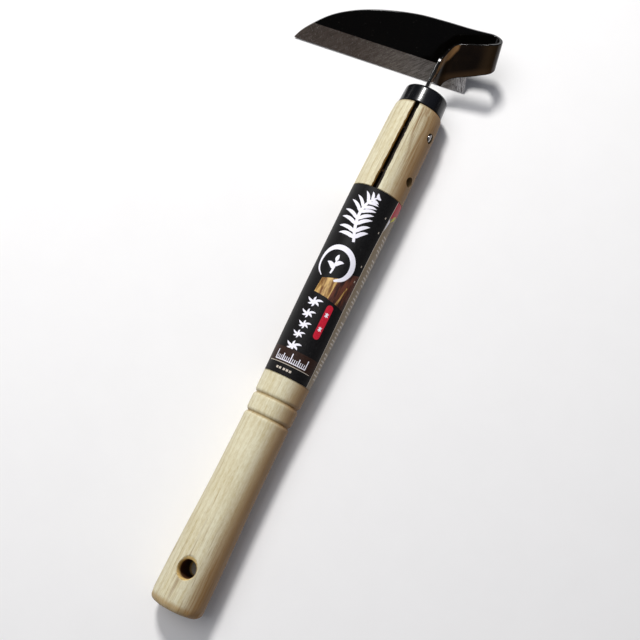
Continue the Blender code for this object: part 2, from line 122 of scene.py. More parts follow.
# ---- head: one folded sheet -----------------------------------------------------------
SHEET = 1.8 * MM
FACE_PITCH, FACE_YAW, BEND_SKEW = radians(41.26), radians(7.59), radians(17.03)
BEND_START = Vector((15.94, -9.15, 321.08)) * MM
BEND_R = 5.63 * MM
CRANK_R = 6.0 * MM
TANG_OFFSET = -0.8 * MM
EDGE_T = 0.35 * MM
EDGE_ROUND = 0.42 * MM             # radius on the sheet's cut edges
RIM_ANGLES = [radians(a) for a in (0, 22.5, 45, 67.5, 90)]
RIM_LEVELS = 2 * len(RIM_ANGLES)   # points from face to face over a cut edge
HEAD_BLACK, HEAD_GROUND, HEAD_STRAP = range(3)
SPINE = [(0, 0), (-10, -0.25), (-24, -1.2), (-38, -1.75), (-50, -0.9), (-61, 0.75),
         (-72, 3.6), (-82, 7.9), (-90.5, 13.9), (-96.5, 19.4), (-99.6, 23.6)]
TIP = (-99.6, 23.6)
HEEL = (-5.0, 34.4)
HEEL_ROUND = 1.8
HEEL_SIDE_TOP = (-7.4, 21.5)
HEEL_NOTCH = [(-7.3, 18.6), (-5.4, 15.4), (-2.4, 13.8), (0, 13.2)]
BEVEL_AT_TIP = (-90.3, 13.7)
BEVEL_AT_HEEL = (-6.0, 22.0)
STRAP_TOP = [(0, 2.4), (7, 3.9), (13, 5.0), (17, 6.2)]
STRAP_LOW = [(0, 18.3), (4.5, 20.0), (9, 21.5), (13.2, 22.8), (16.4, 24.7), (18.6, 26.9),
             (19.3, 29.1)]
NECK_TOP = [(9.75, 299.5), (9.6, 295)]
TANG_NEAR = 9.6
TANG_NEAR_LOW = 8.0
TANG_STEP = (276.5, 269.0)
TANG_FAR_NECK = 5.0
TANG_FAR = 1.7
NECK_CORNER = 285.4
NECK_SPREAD = (276.0, 266.0)
TANG_END = 212.0
TANG_POINT = 4.0
OUTLINE_STEP = 0.45 * MM
FINE_GRID = 0.7 * MM

# ---- nails ------------------------------------------------------------------------------
NAIL_HEIGHTS = {"nail_upper": 257.3 * MM, "nail_lower": 232.3 * MM}
NAIL_LINE = 5.3 * MM
NAIL_R = 1.25 * MM
NAIL_HEAD_R = 2.1 * MM
NAIL_HEAD_T = 1.1 * MM
NAIL_LENGTH = 21.0 * MM
NAIL_POINT = 3.0 * MM
NAIL_SINK = {"nail_upper": -0.25 * MM, "nail_lower": 2.2 * MM}
NAIL_SEAT_R = 2.6 * MM
NAIL_HOLE_R = 1.6 * MM

AXIS_Z = Vector((0, 0, 1))


# ======== shapes ===========================================================================
def smooth_through(points, per_span=4):
    """Centripetal curve through the points, as a denser list of points."""
    pts = [np.array(p, float) for p in points]
    pts = [2 * pts[0] - pts[1]] + pts + [2 * pts[-1] - pts[-2]]
    out = [tuple(pts[1])]
    for i in range(1, len(pts) - 2):
        p0, p1, p2, p3 = pts[i - 1:i + 3]
        t1 = np.linalg.norm(p1 - p0) ** 0.5
        t2 = t1 + np.linalg.norm(p2 - p1) ** 0.5
        t3 = t2 + np.linalg.norm(p3 - p2) ** 0.5
        for k in range(1, per_span + 1):
            t = t1 + (t2 - t1) * k / per_span
            a1 = (t1 - t) / t1 * p0 + t / t1 * p1
            a2 = (t2 - t) / (t2 - t1) * p1 + (t - t1) / (t2 - t1) * p2
            a3 = (t3 - t) / (t3 - t2) * p2 + (t - t2) / (t3 - t2) * p3
            b1 = (t2 - t) / t2 * a1 + t / t2 * a2
            b2 = (t3 - t) / (t3 - t1) * a2 + (t - t1) / (t3 - t1) * a3
            out.append(tuple((t2 - t) / (t2 - t1) * b1 + (t - t1) / (t2 - t1) * b2))
    return out


def rounded_corner(before, corner, after, radius, steps=8):
    """Points of a round between two straight sides."""
    c = Vector(corner)
    a = (Vector(before) - c).normalized()
    b = (Vector(after) - c).normalized()
    half = a.angle(b) / 2
    centre = c + (a + b).normalized() * radius / sin(half)
    start = c + a * radius / tan(half) - centre
    end = c + b * radius / tan(half) - centre
    return [tuple(centre + start.slerp(end, k / steps)) for k in range(steps + 1)]


def direction(angle):
    return Vector((cos(radians(angle)), sin(radians(angle)), 0.0))


def frame_matrix(origin, z_dir, x_hint):
    z = z_dir.normalized()
    x = (x_hint - z * x_hint.dot(z)).normalized()
    return Matrix.LocRotScale(origin, Matrix((x, z.cross(x), z)).transposed(), None)


def mesh_from(name, verts, faces, face_looks=None, corner_normals=None):
    """Mesh in the row frame from tool-frame points."""
    mesh = bpy.data.meshes.new(name)
    cloud = np.array(verts, float) @ np.array(TURN).T + np.array(AXIS_AT)
    mesh.from_pydata(cloud.tolist(), [], faces)
    mesh.shade_smooth()
    if face_looks is not None:
        mesh.polygons.foreach_set("material_index", face_looks)
    if corner_normals is not None:
        normals = np.array(corner_normals, float) @ np.array(TURN).T
        mesh.normals_split_custom_set(normals.tolist())
    mesh.update()
    return mesh


def linked(name, data):
    """A new object in the scene."""
    obj = bpy.data.objects.new(name, data)
    bpy.context.scene.collection.objects.link(obj)
    return obj


def add_piece(name, mesh, looks, node):
    """Show the mesh in the place of a CAD node."""
    for look in looks:
        mesh.materials.append(look)
    obj = linked(name, mesh)
    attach(obj, "root")
    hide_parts(node)


def turned_points(profile, steps, wobble=None):
    """Points and faces of a closed solid of revolution; the profile starts and ends on Z."""
    verts = [(0.0, 0.0, profile[0][1])]
    rings = profile[1:-1]
    for r, z in rings:
        for j in range(steps):
            a = 2 * pi * j / steps
            rr = r - (wobble(a, z, r) if wobble else 0.0)
            verts.append((rr * cos(a), rr * sin(a), z))
    verts.append((0.0, 0.0, profile[-1][1]))
    last = len(verts) - 1
    faces = []
    for j in range(steps):
        k = (j + 1) % steps
        faces.append((0, 1 + k, 1 + j))
        for i in range(len(rings) - 1):
            a, b = 1 + i * steps, 1 + (i + 1) * steps
            faces.append((a + j, a + k, b + k, b + j))
        top = 1 + (len(rings) - 1) * steps
        faces.append((top + j, top + k, last))
    return verts, faces


def helper_object(name, verts, faces, matrix=None):
    mesh = bpy.data.meshes.new(name)
    mesh.from_pydata([tuple(v) for v in verts], [], faces)
    if matrix:
        mesh.transform(matrix)
    bm = bmesh.new()
    bm.from_mesh(mesh)
    bmesh.ops.recalc_face_normals(bm, faces=bm.faces)
    bm.to_mesh(mesh)
    bm.free()
    return linked(name, mesh)


def carved(body, cutters):
    """Mesh of body with the cutters taken out; all of them are used up."""
    for cutter in cutters:
        mod = body.modifiers.new(cutter.name, "BOOLEAN")
        mod.operation = "DIFFERENCE"
        mod.solver = "EXACT"
        mod.object = cutter
    graph = bpy.context.evaluated_depsgraph_get()
    mesh = bpy.data.meshes.new_from_object(body.evaluated_get(graph))
    for obj in [body] + cutters:
        old = obj.data
        bpy.data.objects.remove(obj, do_unlink=True)
        bpy.data.meshes.remove(old)
    mesh.materials.clear()
    return mesh


def finished(mesh, name, sharp):
    """The mesh laid on its back, smooth but for edges over the given angle in degrees."""
    mesh.transform(TO_ROW)
    mesh.shade_smooth()
    mesh.set_sharp_from_angle(angle=radians(sharp))
    mesh.name = name
    return mesh


# ---- the folded sheet -------------------------------------------------------------------
OPEN_SIDE = direction(KERF_ANGLE)
TANG_NORMAL = direction(KERF_ANGLE + 90.0)
FACE = Vector((sin(FACE_YAW) * cos(FACE_PITCH), -cos(FACE_YAW) * cos(FACE_PITCH),
               -sin(FACE_PITCH)))
LEVEL = Vector((cos(FACE_YAW), sin(FACE_YAW), 0.0))
FALL = LEVEL.cross(FACE)
FALL = FALL if FALL.z < 0 else -FALL
ALONG = LEVEL * cos(BEND_SKEW) - FALL * sin(BEND_SKEW)
ACROSS = LEVEL * sin(BEND_SKEW) + FALL * cos(BEND_SKEW)
BEND_LENGTH = pi * BEND_R
STRAP_FACE_FROM = 0.62 * BEND_LENGTH       # where the strap's outer face begins
STRAP_ORIGIN = BEND_START + FACE * (2 * BEND_R)
TANG_PLANE = TANG_OFFSET + SHEET / 2
CRANK_AXIS = TANG_NORMAL.cross(FACE).normalized()
CRANK_AXIS = CRANK_AXIS if CRANK_AXIS.z < 0 else -CRANK_AXIS
CRANK_ANGLE = acos(FACE.dot(TANG_NORMAL))
CRANK_AHEAD = -(ALONG * CRANK_AXIS.dot(ACROSS) - ACROSS * CRANK_AXIS.dot(ALONG))
CRANK_SETBACK = CRANK_R * tan(CRANK_ANGLE / 2)
MEET = (TANG_NORMAL.dot(STRAP_ORIGIN) - TANG_PLANE) / TANG_NORMAL.dot(ALONG)
CRANK_ORIGIN = STRAP_ORIGIN - ALONG * MEET - CRANK_AHEAD * CRANK_SETBACK
CRANK_LENGTH = CRANK_R * CRANK_ANGLE
CRANK_OUT = CRANK_AHEAD * cos(CRANK_ANGLE) + FACE * sin(CRANK_ANGLE)
TANG_ORIGIN = (CRANK_ORIGIN + CRANK_AHEAD * CRANK_R * sin(CRANK_ANGLE)
               + FACE * CRANK_R * (1 - cos(CRANK_ANGLE)))


def crank_ahead(s, w):
    """How far the flat pattern's point lies past the crank bend's start."""
    flat = STRAP_ORIGIN - ALONG * (s - BEND_LENGTH) + ACROSS * w
    return (flat - CRANK_ORIGIN).dot(CRANK_AHEAD)


def folded(s, w):
    """Outer-face point and outward normal for the flat pattern's point (s, w)."""
    if s <= 0.0:
        return BEND_START + ALONG * s + ACROSS * w, -FACE
    if s < BEND_LENGTH:
        turn = s / BEND_R
        out = ALONG * sin(turn) - FACE * cos(turn)
        return BEND_START + FACE * BEND_R + out * BEND_R + ACROSS * w, out
    flat = STRAP_ORIGIN - ALONG * (s - BEND_LENGTH) + ACROSS * w
    ahead = (flat - CRANK_ORIGIN).dot(CRANK_AHEAD)
    if ahead <= 0.0:
        return flat, FACE.copy()
    base = flat - CRANK_AHEAD * ahead
    turn = min(ahead / CRANK_R, CRANK_ANGLE)
    normal = FACE * cos(turn) - CRANK_AHEAD * sin(turn)
    point = base + CRANK_AHEAD * CRANK_R * sin(turn) + FACE * CRANK_R * (1 - cos(turn))
    point += CRANK_OUT * max(ahead - CRANK_LENGTH, 0.0)
    return point, normal


def pattern_from_tang(near, height):
    """Flat pattern coordinates of a point in the tang's plane."""
    point = OPEN_SIDE * near + TANG_NORMAL * TANG_PLANE + AXIS_Z * height
    ahead = (point - TANG_ORIGIN).dot(CRANK_OUT) + CRANK_LENGTH
    along = (point - TANG_ORIGIN).dot(CRANK_AXIS)
    flat = CRANK_ORIGIN + CRANK_AHEAD * ahead + CRANK_AXIS * along
    return BEND_LENGTH - (flat - STRAP_ORIGIN).dot(ALONG), (flat - STRAP_ORIGIN).dot(ACROSS)


def head_pattern():
    """Outline of the flat sheet, in metres."""
    blade = [(s * MM, w * MM) for s, w in smooth_through(SPINE, 10)]
    heel = rounded_corner(TIP, HEEL, HEEL_SIDE_TOP, HEEL_ROUND)
    notch = smooth_through([HEEL_SIDE_TOP] + HEEL_NOTCH, 8)
    lower = [(s * MM, w * MM) for s, w in heel + notch]
    low = [(BEND_LENGTH + s * MM, w * MM) for s, w in smooth_through(STRAP_LOW, 8)]
    top = [(BEND_LENGTH + s * MM, w * MM) for s, w in STRAP_TOP]
    top += [pattern_from_tang(k * MM, z * MM) for k, z in NECK_TOP]
    top = smooth_through(top, 10)
    tang = [(TANG_NEAR, TANG_STEP[0]), (TANG_NEAR_LOW, TANG_STEP[1]),
            (TANG_NEAR_LOW, TANG_END + TANG_POINT), (TANG_NEAR_LOW - TANG_POINT / 2, TANG_END),
            (TANG_FAR + TANG_POINT / 2, TANG_END), (TANG_FAR, TANG_END + TANG_POINT),
            (TANG_FAR, NECK_SPREAD[1]), (TANG_FAR_NECK, NECK_SPREAD[0]),
            (TANG_FAR_NECK, NECK_CORNER - 1.0), (TANG_FAR_NECK - 0.3, NECK_CORNER)]
    tang = [pattern_from_tang(k * MM, z * MM) for k, z in tang]
    return blade[::-1] + top + tang + low[::-1] + lower[::-1]


def bevel_share(s, w):
    """0 on the bevel's start line and the body, 1 on the cutting edge."""
    start, end = Vector(BEVEL_AT_TIP) * MM, Vector(BEVEL_AT_HEEL) * MM
    tip, heel = Vector(TIP) * MM, Vector(HEEL) * MM
    point = Vector((s, w))

    def beyond(a, b):
        side = (b - a).normalized()
        return (point - a).dot(Vector((-side.y, side.x)))

    inner = beyond(start, end)
    outer = -beyond(tip, heel)
    if s > 0.0 or inner <= 0.0:
        return 0.0
    return inner / (inner + max(outer, 0.0))


def thickness(s, w):
    return SHEET + (EDGE_T - SHEET) * bevel_share(s, w)


def even_loop(points, step, softening):
    """The closed outline at an even spacing, with its corners eased."""
    pts = np.array(points, float)
    pts = pts[np.linalg.norm(pts - np.roll(pts, 1, axis=0), axis=1) > 0.01 * MM]
    closed = np.vstack([pts, pts[:1]])
    run = np.concatenate([[0], np.cumsum(np.linalg.norm(np.diff(closed, axis=0), axis=1))])
    count = int(round(run[-1] / step))
    at = np.linspace(0, run[-1], count, endpoint=False)
    loop = np.column_stack([np.interp(at, run, closed[:, k]) for k in (0, 1)])
    for _ in range(softening):
        loop = (np.roll(loop, 1, axis=0) + 2 * loop + np.roll(loop, -1, axis=0)) / 4
    return loop


def inside_loops(points, loops):
    """True where a point is within the outline and outside the holes."""
    x, y = points[:, 0][:, None], points[:, 1][:, None]
    odd = np.zeros(len(points), int)
    for loop in loops:
        x0, y0 = loop[:, 0][None], loop[:, 1][None]
        x1, y1 = np.roll(loop[:, 0], -1)[None], np.roll(loop[:, 1], -1)[None]
        straddle = (y0 > y) != (y1 > y)
        rise = np.where(y1 == y0, 1e-12, y1 - y0)
        odd += (straddle & (x < (x1 - x0) * (y - y0) / rise + x0)).sum(axis=1)
    return odd % 2 == 1


def inward_of(loop, hole):
    """Unit vectors into the sheet from the points of an outline."""
    step = np.roll(loop, -1, axis=0) - np.roll(loop, 1, axis=0)
    inward = np.column_stack([-step[:, 1], step[:, 0]])
    inward /= np.linalg.norm(inward, axis=1)[:, None]
    x, y = loop.T
    area = (x * np.roll(y, -1) - np.roll(x, -1) * y).sum()
    return -inward if (area < 0) != hole else inward


def rounded_rim(p, inward):
    """Points and normals over a cut edge from the outer face on, and where the face starts."""
    round_r = min(EDGE_ROUND, 0.45 * thickness(*p))
    away = (folded(*(p - inward * 0.02 * MM))[0] - folded(*p)[0]).normalized()
    points, normals = [], []
    for side, turns in ((1, RIM_ANGLES), (-1, RIM_ANGLES[::-1])):
        for a in turns:
            q = p + inward * round_r * (1 - sin(a))
            point, out = folded(*q)
            ease = round_r * (1 - cos(a))
            points.append(point - out * (ease if side > 0 else thickness(*q) - ease))
            normals.append(out * side * cos(a) + away * sin(a))
    return points, normals, p + inward * round_r


def clear_of(points, others, gap):
    return points[[np.linalg.norm(others - p, axis=1).min() > gap for p in points]]


def face_points(loops, caps):
    """Points within the faces, close together on the bends, and along the bevel's start."""
    low, high = loops[0].min(axis=0), loops[0].max(axis=0)
    grid = []
    for i in range(int((high[0] - low[0]) / FINE_GRID)):
        s = low[0] + i * FINE_GRID
        in_bend = -FINE_GRID < s < BEND_LENGTH + FINE_GRID
        for j in range(int((high[1] - low[1]) / FINE_GRID)):
            w = low[1] + j * FINE_GRID
            in_crank = (s > BEND_LENGTH
                        and -FINE_GRID < crank_ahead(s, w) < CRANK_LENGTH + FINE_GRID)
            if (in_bend and j % 3 == 0) or in_crank or (i % 6 == 0 and j % 6 == 0):
                grid.append((s, w))
    grid = np.array(grid)
    grid = clear_of(grid[inside_loops(grid, loops)], np.vstack(caps), 0.6 * FINE_GRID)
    a, b = np.array(BEVEL_AT_TIP) * MM, np.array(BEVEL_AT_HEEL) * MM
    line = (b - a) / np.linalg.norm(b - a)
    square = np.array([-line[1], line[0]])
    grid = grid[(np.abs((grid - a) @ square) > 0.4 * MM) | (grid[:, 0] > 0)]
    run = np.arange(-2 * MM, np.linalg.norm(b - a) + 1 * MM, 1 * MM)
    crease = np.array([a + line * t for t in run])
    crease = clear_of(crease[inside_loops(crease, caps[:1])], caps[0], 0.15 * MM)
    return grid, crease


def inner_normal(s, w):
    """Normal of the sheet's inner face, with its change of thickness."""
    def at(x, y):
        point, out = folded(x, y)
        return point - out * thickness(x, y)
    step = 0.01 * MM
    here = at(s, w)
    normal = (at(s + step, w) - here).cross(at(s, w + step) - here).normalized()
    return normal if normal.dot(folded(s, w)[1]) < 0 else -normal


def head_mesh():
    loops = [even_loop(head_pattern(), OUTLINE_STEP, 3)]
    for height in NAIL_HEIGHTS.values():
        s, w = pattern_from_tang(NAIL_LINE, height)
        loops.append(np.array([(s + NAIL_HOLE_R * cos(2 * pi * k / 40),
                                w + NAIL_HOLE_R * sin(2 * pi * k / 40)) for k in range(40)]))
    verts, normals_of, caps = [], [], []
    for number, loop in enumerate(loops):
        cap = []
        for p, inward in zip(loop, inward_of(loop, number > 0)):
            points, normals, start = rounded_rim(p, inward)
            verts += points
            normals_of += normals
            cap.append(start)
        caps.append(np.array(cap))

    grid, crease = face_points(loops, caps)
    flat, edges, first = [], [], []
    for cap in caps:
        start, count = len(flat), len(cap)
        edges += [(start + k, start + (k + 1) % count) for k in range(count)]
        first.append(start)
        flat += cap.tolist()
    rim_count = len(flat)
    edges += [(rim_count + k, rim_count + k + 1) for k in range(len(crease) - 1)]
    flat += crease.tolist() + grid.tolist()
    points2d, _, tris, original, _, _ = geometry.delaunay_2d_cdt(
        [Vector(p) for p in flat], edges, [], 0, 1e-7, True)
    centres = np.array([[sum(points2d[v][k] for v in t) / 3 for k in (0, 1)] for t in tris])
    tris = [t for t, keep in zip(tris, inside_loops(centres, caps)) if keep]

    outer, inner = {}, {}
    for v, source in enumerate(original):
        known = [i for i in source if i < rim_count]
        if known:
            outer[v] = known[0] * RIM_LEVELS
            inner[v] = outer[v] + RIM_LEVELS - 1
    for v in sorted({v for t in tris for v in t} - set(outer)):
        point, out = folded(*points2d[v])
        outer[v], inner[v] = len(verts), len(verts) + 1
        verts += [point, point - out * thickness(*points2d[v])]
        normals_of += [out, -out]

    faces, looks, corners = [], [], []
    bevel_normal = inner_normal(-50 * MM, 22 * MM)
    for t in tris:
        a, b, c = (verts[outer[v]] for v in t)
        middle = tuple(sum(points2d[v][k] for v in t) / 3 for k in (0, 1))
        order = t if (b - a).cross(c - a).dot(folded(*middle)[1]) > 0 else t[::-1]
        faces += [[outer[v] for v in order], [inner[v] for v in order[::-1]]]
        corners += [folded(*points2d[v])[1] for v in order]
        ground = bevel_share(*middle) > 0.0
        looks += [HEAD_STRAP if middle[0] > STRAP_FACE_FROM else HEAD_BLACK,
                  HEAD_GROUND if ground else HEAD_BLACK]
        if ground or middle[0] < 0:
            corners += [bevel_normal if ground else FACE] * 3
        else:
            corners += [-folded(*points2d[v])[1] for v in order[::-1]]
    for start, loop in zip(first, loops):
        for k, p in enumerate(loop):
            share = bevel_share(*p)
            here, beside = ((start + n % len(loop)) * RIM_LEVELS for n in (k, k + 1))
            for level in range(RIM_LEVELS - 1):
                quad = [here + level, beside + level, beside + level + 1, here + level + 1]
                a, b, c = (verts[q] for q in quad[:3])
                if (b - a).cross(c - b).dot(normals_of[quad[0]] + normals_of[quad[2]]) < 0:
                    quad = quad[::-1]
                faces.append(quad)
                corners += [normals_of[q] for q in quad]
                ground = share > 0.5 or (share > 0.0 and level >= len(RIM_ANGLES))
                looks.append(HEAD_GROUND if ground else HEAD_BLACK)
    return mesh_from("blade_sheet", verts, faces, looks, corners)


# ---- handle, ferrule, label, nails ----------------------------------------------------------
BARREL_Z, BARREL_R = (np.array(v) * MM for v in zip(*smooth_through(BARREL, 6)))


def barrel_radius(z):
    return float(np.interp(z, BARREL_Z, BARREL_R))


def handle_profile():
    """(radius, height) points of the turned wood, butt to spigot."""
    pts = [(0.0, 0.0)] + [(BUTT_FACE_R * k / 4, 0.0) for k in range(1, 5)]
    start_r = barrel_radius(BUTT_ROUND)
    for k in range(1, 9):
        a = k / 8 * pi / 2
        pts.append((BUTT_FACE_R + (start_r - BUTT_FACE_R) * sin(a), BUTT_ROUND * (1 - cos(a))))
    low, high = LABEL_LOW - SEAT_MARGIN, LABEL_HIGH + SEAT_MARGIN
    sink = LABEL_T + LABEL_GAP - LABEL_PROUD
    heights = list(np.arange(4.0 * MM, GROOVES[0] - GROOVE_HALF, 1.2 * MM))
    for centre in GROOVES:
        heights += list(np.linspace(centre - GROOVE_HALF, centre + GROOVE_HALF, 15))
        if centre == GROOVES[0]:
            heights += list(np.arange(centre + GROOVE_HALF + 0.5 * MM,
                                      GROOVES[1] - GROOVE_HALF - 0.2 * MM, 1.0 * MM))
    heights += list(np.arange(GROOVES[1] + GROOVE_HALF + 0.6 * MM, low - 0.3 * MM, 1.0 * MM))
    for z in heights:
        depth = 0.0
        for centre in GROOVES:
            off = min(abs(z - centre) / GROOVE_HALF, 1.0)
            depth = max(depth, GROOVE_DEPTH * (1 - off) ** 1.6)
        pts.append((barrel_radius(z) - depth, z))
    pts.append((barrel_radius(low), low))
    pts += [(barrel_radius(z) - sink, z) for z in np.linspace(low, high, 40)]
    pts.append((barrel_radius(high), high))
    pts += [(barrel_radius(z), z) for z in np.arange(high + 0.6 * MM, 268.6 * MM, 1.0 * MM)]
    pts += [(12.4 * MM, 269.2 * MM), (SHOULDER_R + 0.1 * MM, SHOULDER - 0.1 * MM),
            (SHOULDER_R - 0.2 * MM, SHOULDER), (SPIGOT_R, SHOULDER), (SPIGOT_R, HANDLE_TOP),
            (0.0, HANDLE_TOP)]
    return pts


def wood_wobble(angle, z, r):
    """Small dips of a hand-sanded turning, and a slightly uneven butt edge."""
    if z > SHOULDER - 0.05 * MM or LABEL_LOW - SEAT_MARGIN <= z <= LABEL_HIGH + SEAT_MARGIN:
        return 0.0
    dip = noise.noise(Vector((cos(angle) * 1.6, sin(angle) * 1.6, z / MM * 0.045)))
    fine = noise.noise(Vector((cos(angle) * 9, sin(angle) * 9, z / MM * 0.12 + 7)))
    depth = WOBBLE * (0.5 + 0.4 * dip + 0.25 * fine)
    if r > BUTT_FACE_R and z < CHIP_REACH:
        chip = noise.noise(Vector((cos(angle) * 2.3, sin(angle) * 2.3, 3.0)))
        turn = (angle / (2 * pi) * RASP_FACETS + 0.35 * chip) % 1 - 0.5
        facet = FACET_DEPTH * (1 - 4 * turn * turn) * sin(pi * min(z / FACET_REACH, 1))
        depth += facet + max(chip, 0.0) * CHIP_DEPTH * (1 - z / CHIP_REACH)
    return max(depth, 0.0) if z > 0.0 else 0.0


def nail_axis(name):
    """Start point on the handle's side and direction into the wood."""
    reach = (barrel_radius(NAIL_HEIGHTS[name]) ** 2 - NAIL_LINE ** 2) ** 0.5
    start = OPEN_SIDE * NAIL_LINE + TANG_NORMAL * reach + AXIS_Z * NAIL_HEIGHTS[name]
    return start, -TANG_NORMAL


def kerf_cutter():
    """Saw cut with torn edges at its mouth: a stack of matching cross-sections."""
    levels = np.arange(KERF_END, HANDLE_TOP + 4 * MM, 0.8 * MM)
    verts, faces = [], []
    for z in levels:
        def tear(seed, scale):
            return max(noise.noise(Vector((z / MM * scale, seed, 0.3))), -0.15)
        slant = KERF_WALL_END + (KERF_WALL_TOP - KERF_WALL_END) * (z - KERF_END) / (
            HANDLE_TOP - KERF_END)
        rough = 1.0 if z > KERF_ROUGH_ABOVE else 0.5
        left = slant - (0.36 * tear(1.7, 0.31) + 0.2 * tear(5.1, 0.9)) * MM
        right = KERF_WALL + rough * (0.42 * tear(9.4, 0.36) + 0.3 * tear(3.3, 1.1)) * MM
        rows = ((KERF_FLOOR, slant, KERF_WALL), (KERF_TORN_FROM, slant, KERF_WALL),
                (KERF_TORN_HALF, (slant + left) / 2, (KERF_WALL + right) / 2),
                (KERF_TORN_FULL, left, right), (KERF_MOUTH, left, right))
        section = [(slant, KERF_FLOOR)] + [(high, y) for y, _, high in rows]
        section += [(low, y) for y, low, _ in rows[:0:-1]]
        verts += [OPEN_SIDE * y + TANG_NORMAL * x + AXIS_Z * z for x, y in section]
    side = 10
    for i in range(len(levels) - 1):
        a, b = i * side, (i + 1) * side
        faces += [(a + k, a + (k + 1) % side, b + (k + 1) % side, b + k) for k in range(side)]
    faces += [tuple(range(side))[::-1], tuple(range(len(verts) - side, len(verts)))]
    return helper_object("cut_kerf", verts, faces)


def handle_mesh():
    verts, faces = turned_points(handle_profile(), ROUND_STEPS, wood_wobble)
    body = helper_object("wood_blank", verts, faces)
    cutters = [kerf_cutter()]
    mouth = barrel_radius(HOLE_Z)
    rise = 3 * MM
    flare = [(HOLE_R + HOLE_FLARE * t ** 1.5, HOLE_FLARE_DEPTH * (1 - t))
             for t in np.linspace(0, 1, 7)]
    ring = [(0.0, -mouth - rise), (HOLE_R + HOLE_FLARE + rise, -mouth - rise)]
    ring += [(r, -mouth + depth) for r, depth in flare[::-1]]
    ring += [(r, mouth - depth) for r, depth in flare]
    ring += [(HOLE_R + HOLE_FLARE + rise, mouth + rise), (0.0, mouth + rise)]
    place = frame_matrix(AXIS_Z * HOLE_Z, direction(HOLE_ANGLE), AXIS_Z)

    def lean(angle, z, r):
        return -HOLE_FLARE_SHIFT * cos(angle) * max(r - HOLE_R, 0.0) / HOLE_FLARE

    cutters.append(helper_object("cut_hole", *turned_points(ring, 64, lean), place))
    for name in NAIL_HEIGHTS:
        start, into = nail_axis(name)
        sink = max(NAIL_SINK[name], 0.0) + NAIL_HEAD_T + FIT
        ring = [(0.0, -2 * MM), (NAIL_SEAT_R, -2 * MM), (NAIL_SEAT_R - 0.1 * MM, sink),
                (NAIL_HOLE_R, sink), (NAIL_HOLE_R, NAIL_LENGTH + 1.5 * MM),
                (0.0, NAIL_LENGTH + 1.5 * MM)]
        cutters.append(helper_object("cut_" + name, *turned_points(ring, 40),
                                     frame_matrix(start, into, AXIS_Z)))
    mesh = carved(body, cutters)
    # faces inside the cuts get the raw-cut surface
    rows = [(z, r) for r, z in handle_profile() if r > 0.0]
    heights, radii = np.array(sorted(rows)).T
    for poly in mesh.polygons:
        c = poly.center
        r = (c.x ** 2 + c.y ** 2) ** 0.5
        surface = float(np.interp(c.z, heights, radii))
        cut = r < surface - RAW_BELOW and 6 * MM < c.z < SHOULDER - 0.3 * MM
        poly.material_index = 1 if cut else 0
    return finished(mesh, "handle_turned", 32)


def ferrule_mesh():
    top_r, low_r = FERRULE_R_HIGH, FERRULE_R_LOW
    hem = 0.35 * MM
    pts = [(0.0, FERRULE_HIGH - FERRULE_T)]
    inner = FERRULE_ROUND - FERRULE_T
    for k in range(7):
        a = k / 6 * pi / 2
        pts.append((top_r - FERRULE_T - inner + inner * sin(a),
                    FERRULE_HIGH - FERRULE_T - inner + inner * cos(a)))
    pts.append((low_r - FERRULE_T, FERRULE_LOW + hem))
    for k in range(7):
        a = pi + k / 6 * pi
        pts.append((low_r - FERRULE_T / 2 + FERRULE_T / 2 * cos(a),
                    FERRULE_LOW + hem + hem * sin(a)))
    for z in np.linspace(FERRULE_LOW + 1.2 * MM, FERRULE_HIGH - FERRULE_ROUND, 6)[:-1]:
        share = (z - FERRULE_LOW) / (FERRULE_HIGH - FERRULE_ROUND - FERRULE_LOW)
        pts.append((low_r - 0.05 * MM + (top_r - low_r + 0.05 * MM) * share, z))
    for k in range(11):
        a = k / 10 * pi / 2
        pts.append((top_r - FERRULE_ROUND * (1 - cos(a)),
                    FERRULE_HIGH - FERRULE_ROUND * (1 - sin(a))))
    pts += [(5.5 * MM, FERRULE_HIGH), (0.0, FERRULE_HIGH)]
    body = helper_object("cap_blank", *turned_points(pts, ROUND_STEPS))
    far = TANG_FAR_NECK * MM - 2 * FIT
    near = TANG_NEAR * MM + 2 * FIT
    corner = 0.25 * MM
    half_w, half_l = SHEET / 2 + FIT, (near - far) / 2
    section = [(half_w - corner + corner * cos(t), half_l - corner + corner * sin(t))
               for t in (0, pi / 4, pi / 2)]
    section += [(-x, y) for x, y in section[::-1]]
    section += [(x, -y) for x, y in section[::-1]]
    centre = (far + near) / 2
    verts = [OPEN_SIDE * (centre + y) + TANG_NORMAL * (TANG_OFFSET + x)
             + AXIS_Z * (FERRULE_HIGH + rise) for rise in (-3 * MM, 3 * MM) for x, y in section]
    n = len(section)
    faces = [(k, (k + 1) % n, n + (k + 1) % n, n + k) for k in range(n)]
    faces += [tuple(range(n))[::-1], tuple(range(n, 2 * n))]
    return finished(carved(body, [helper_object("cut_slot", verts, faces)]), "ferrule_cap", 40)


def nail_mesh(name):
    top = NAIL_SINK[name]
    dome = NAIL_HEAD_T / 2
    ring = [(0.0, top + 0.05 * MM), (0.25 * NAIL_HEAD_R, top)]
    for k in range(3, 11):
        a = k / 10 * pi / 2
        ring.append((NAIL_HEAD_R * sin(a), top + dome * (1 - cos(a))))
    ring += [(NAIL_HEAD_R, top + NAIL_HEAD_T * 0.85), (NAIL_HEAD_R * 0.93, top + NAIL_HEAD_T),
             (NAIL_R, top + NAIL_HEAD_T), (NAIL_R, NAIL_LENGTH - NAIL_POINT),
             (NAIL_R * 0.45, NAIL_LENGTH - NAIL_POINT * 0.35), (0.0, NAIL_LENGTH)]
    start, into = nail_axis(name)
    verts, faces = turned_points(ring, 40)
    nail = helper_object(name + "_wire", verts, faces, frame_matrix(start, into, AXIS_Z))
    mesh = nail.data
    bpy.data.objects.remove(nail, do_unlink=True)
    return finished(mesh, name + "_wire", 35)


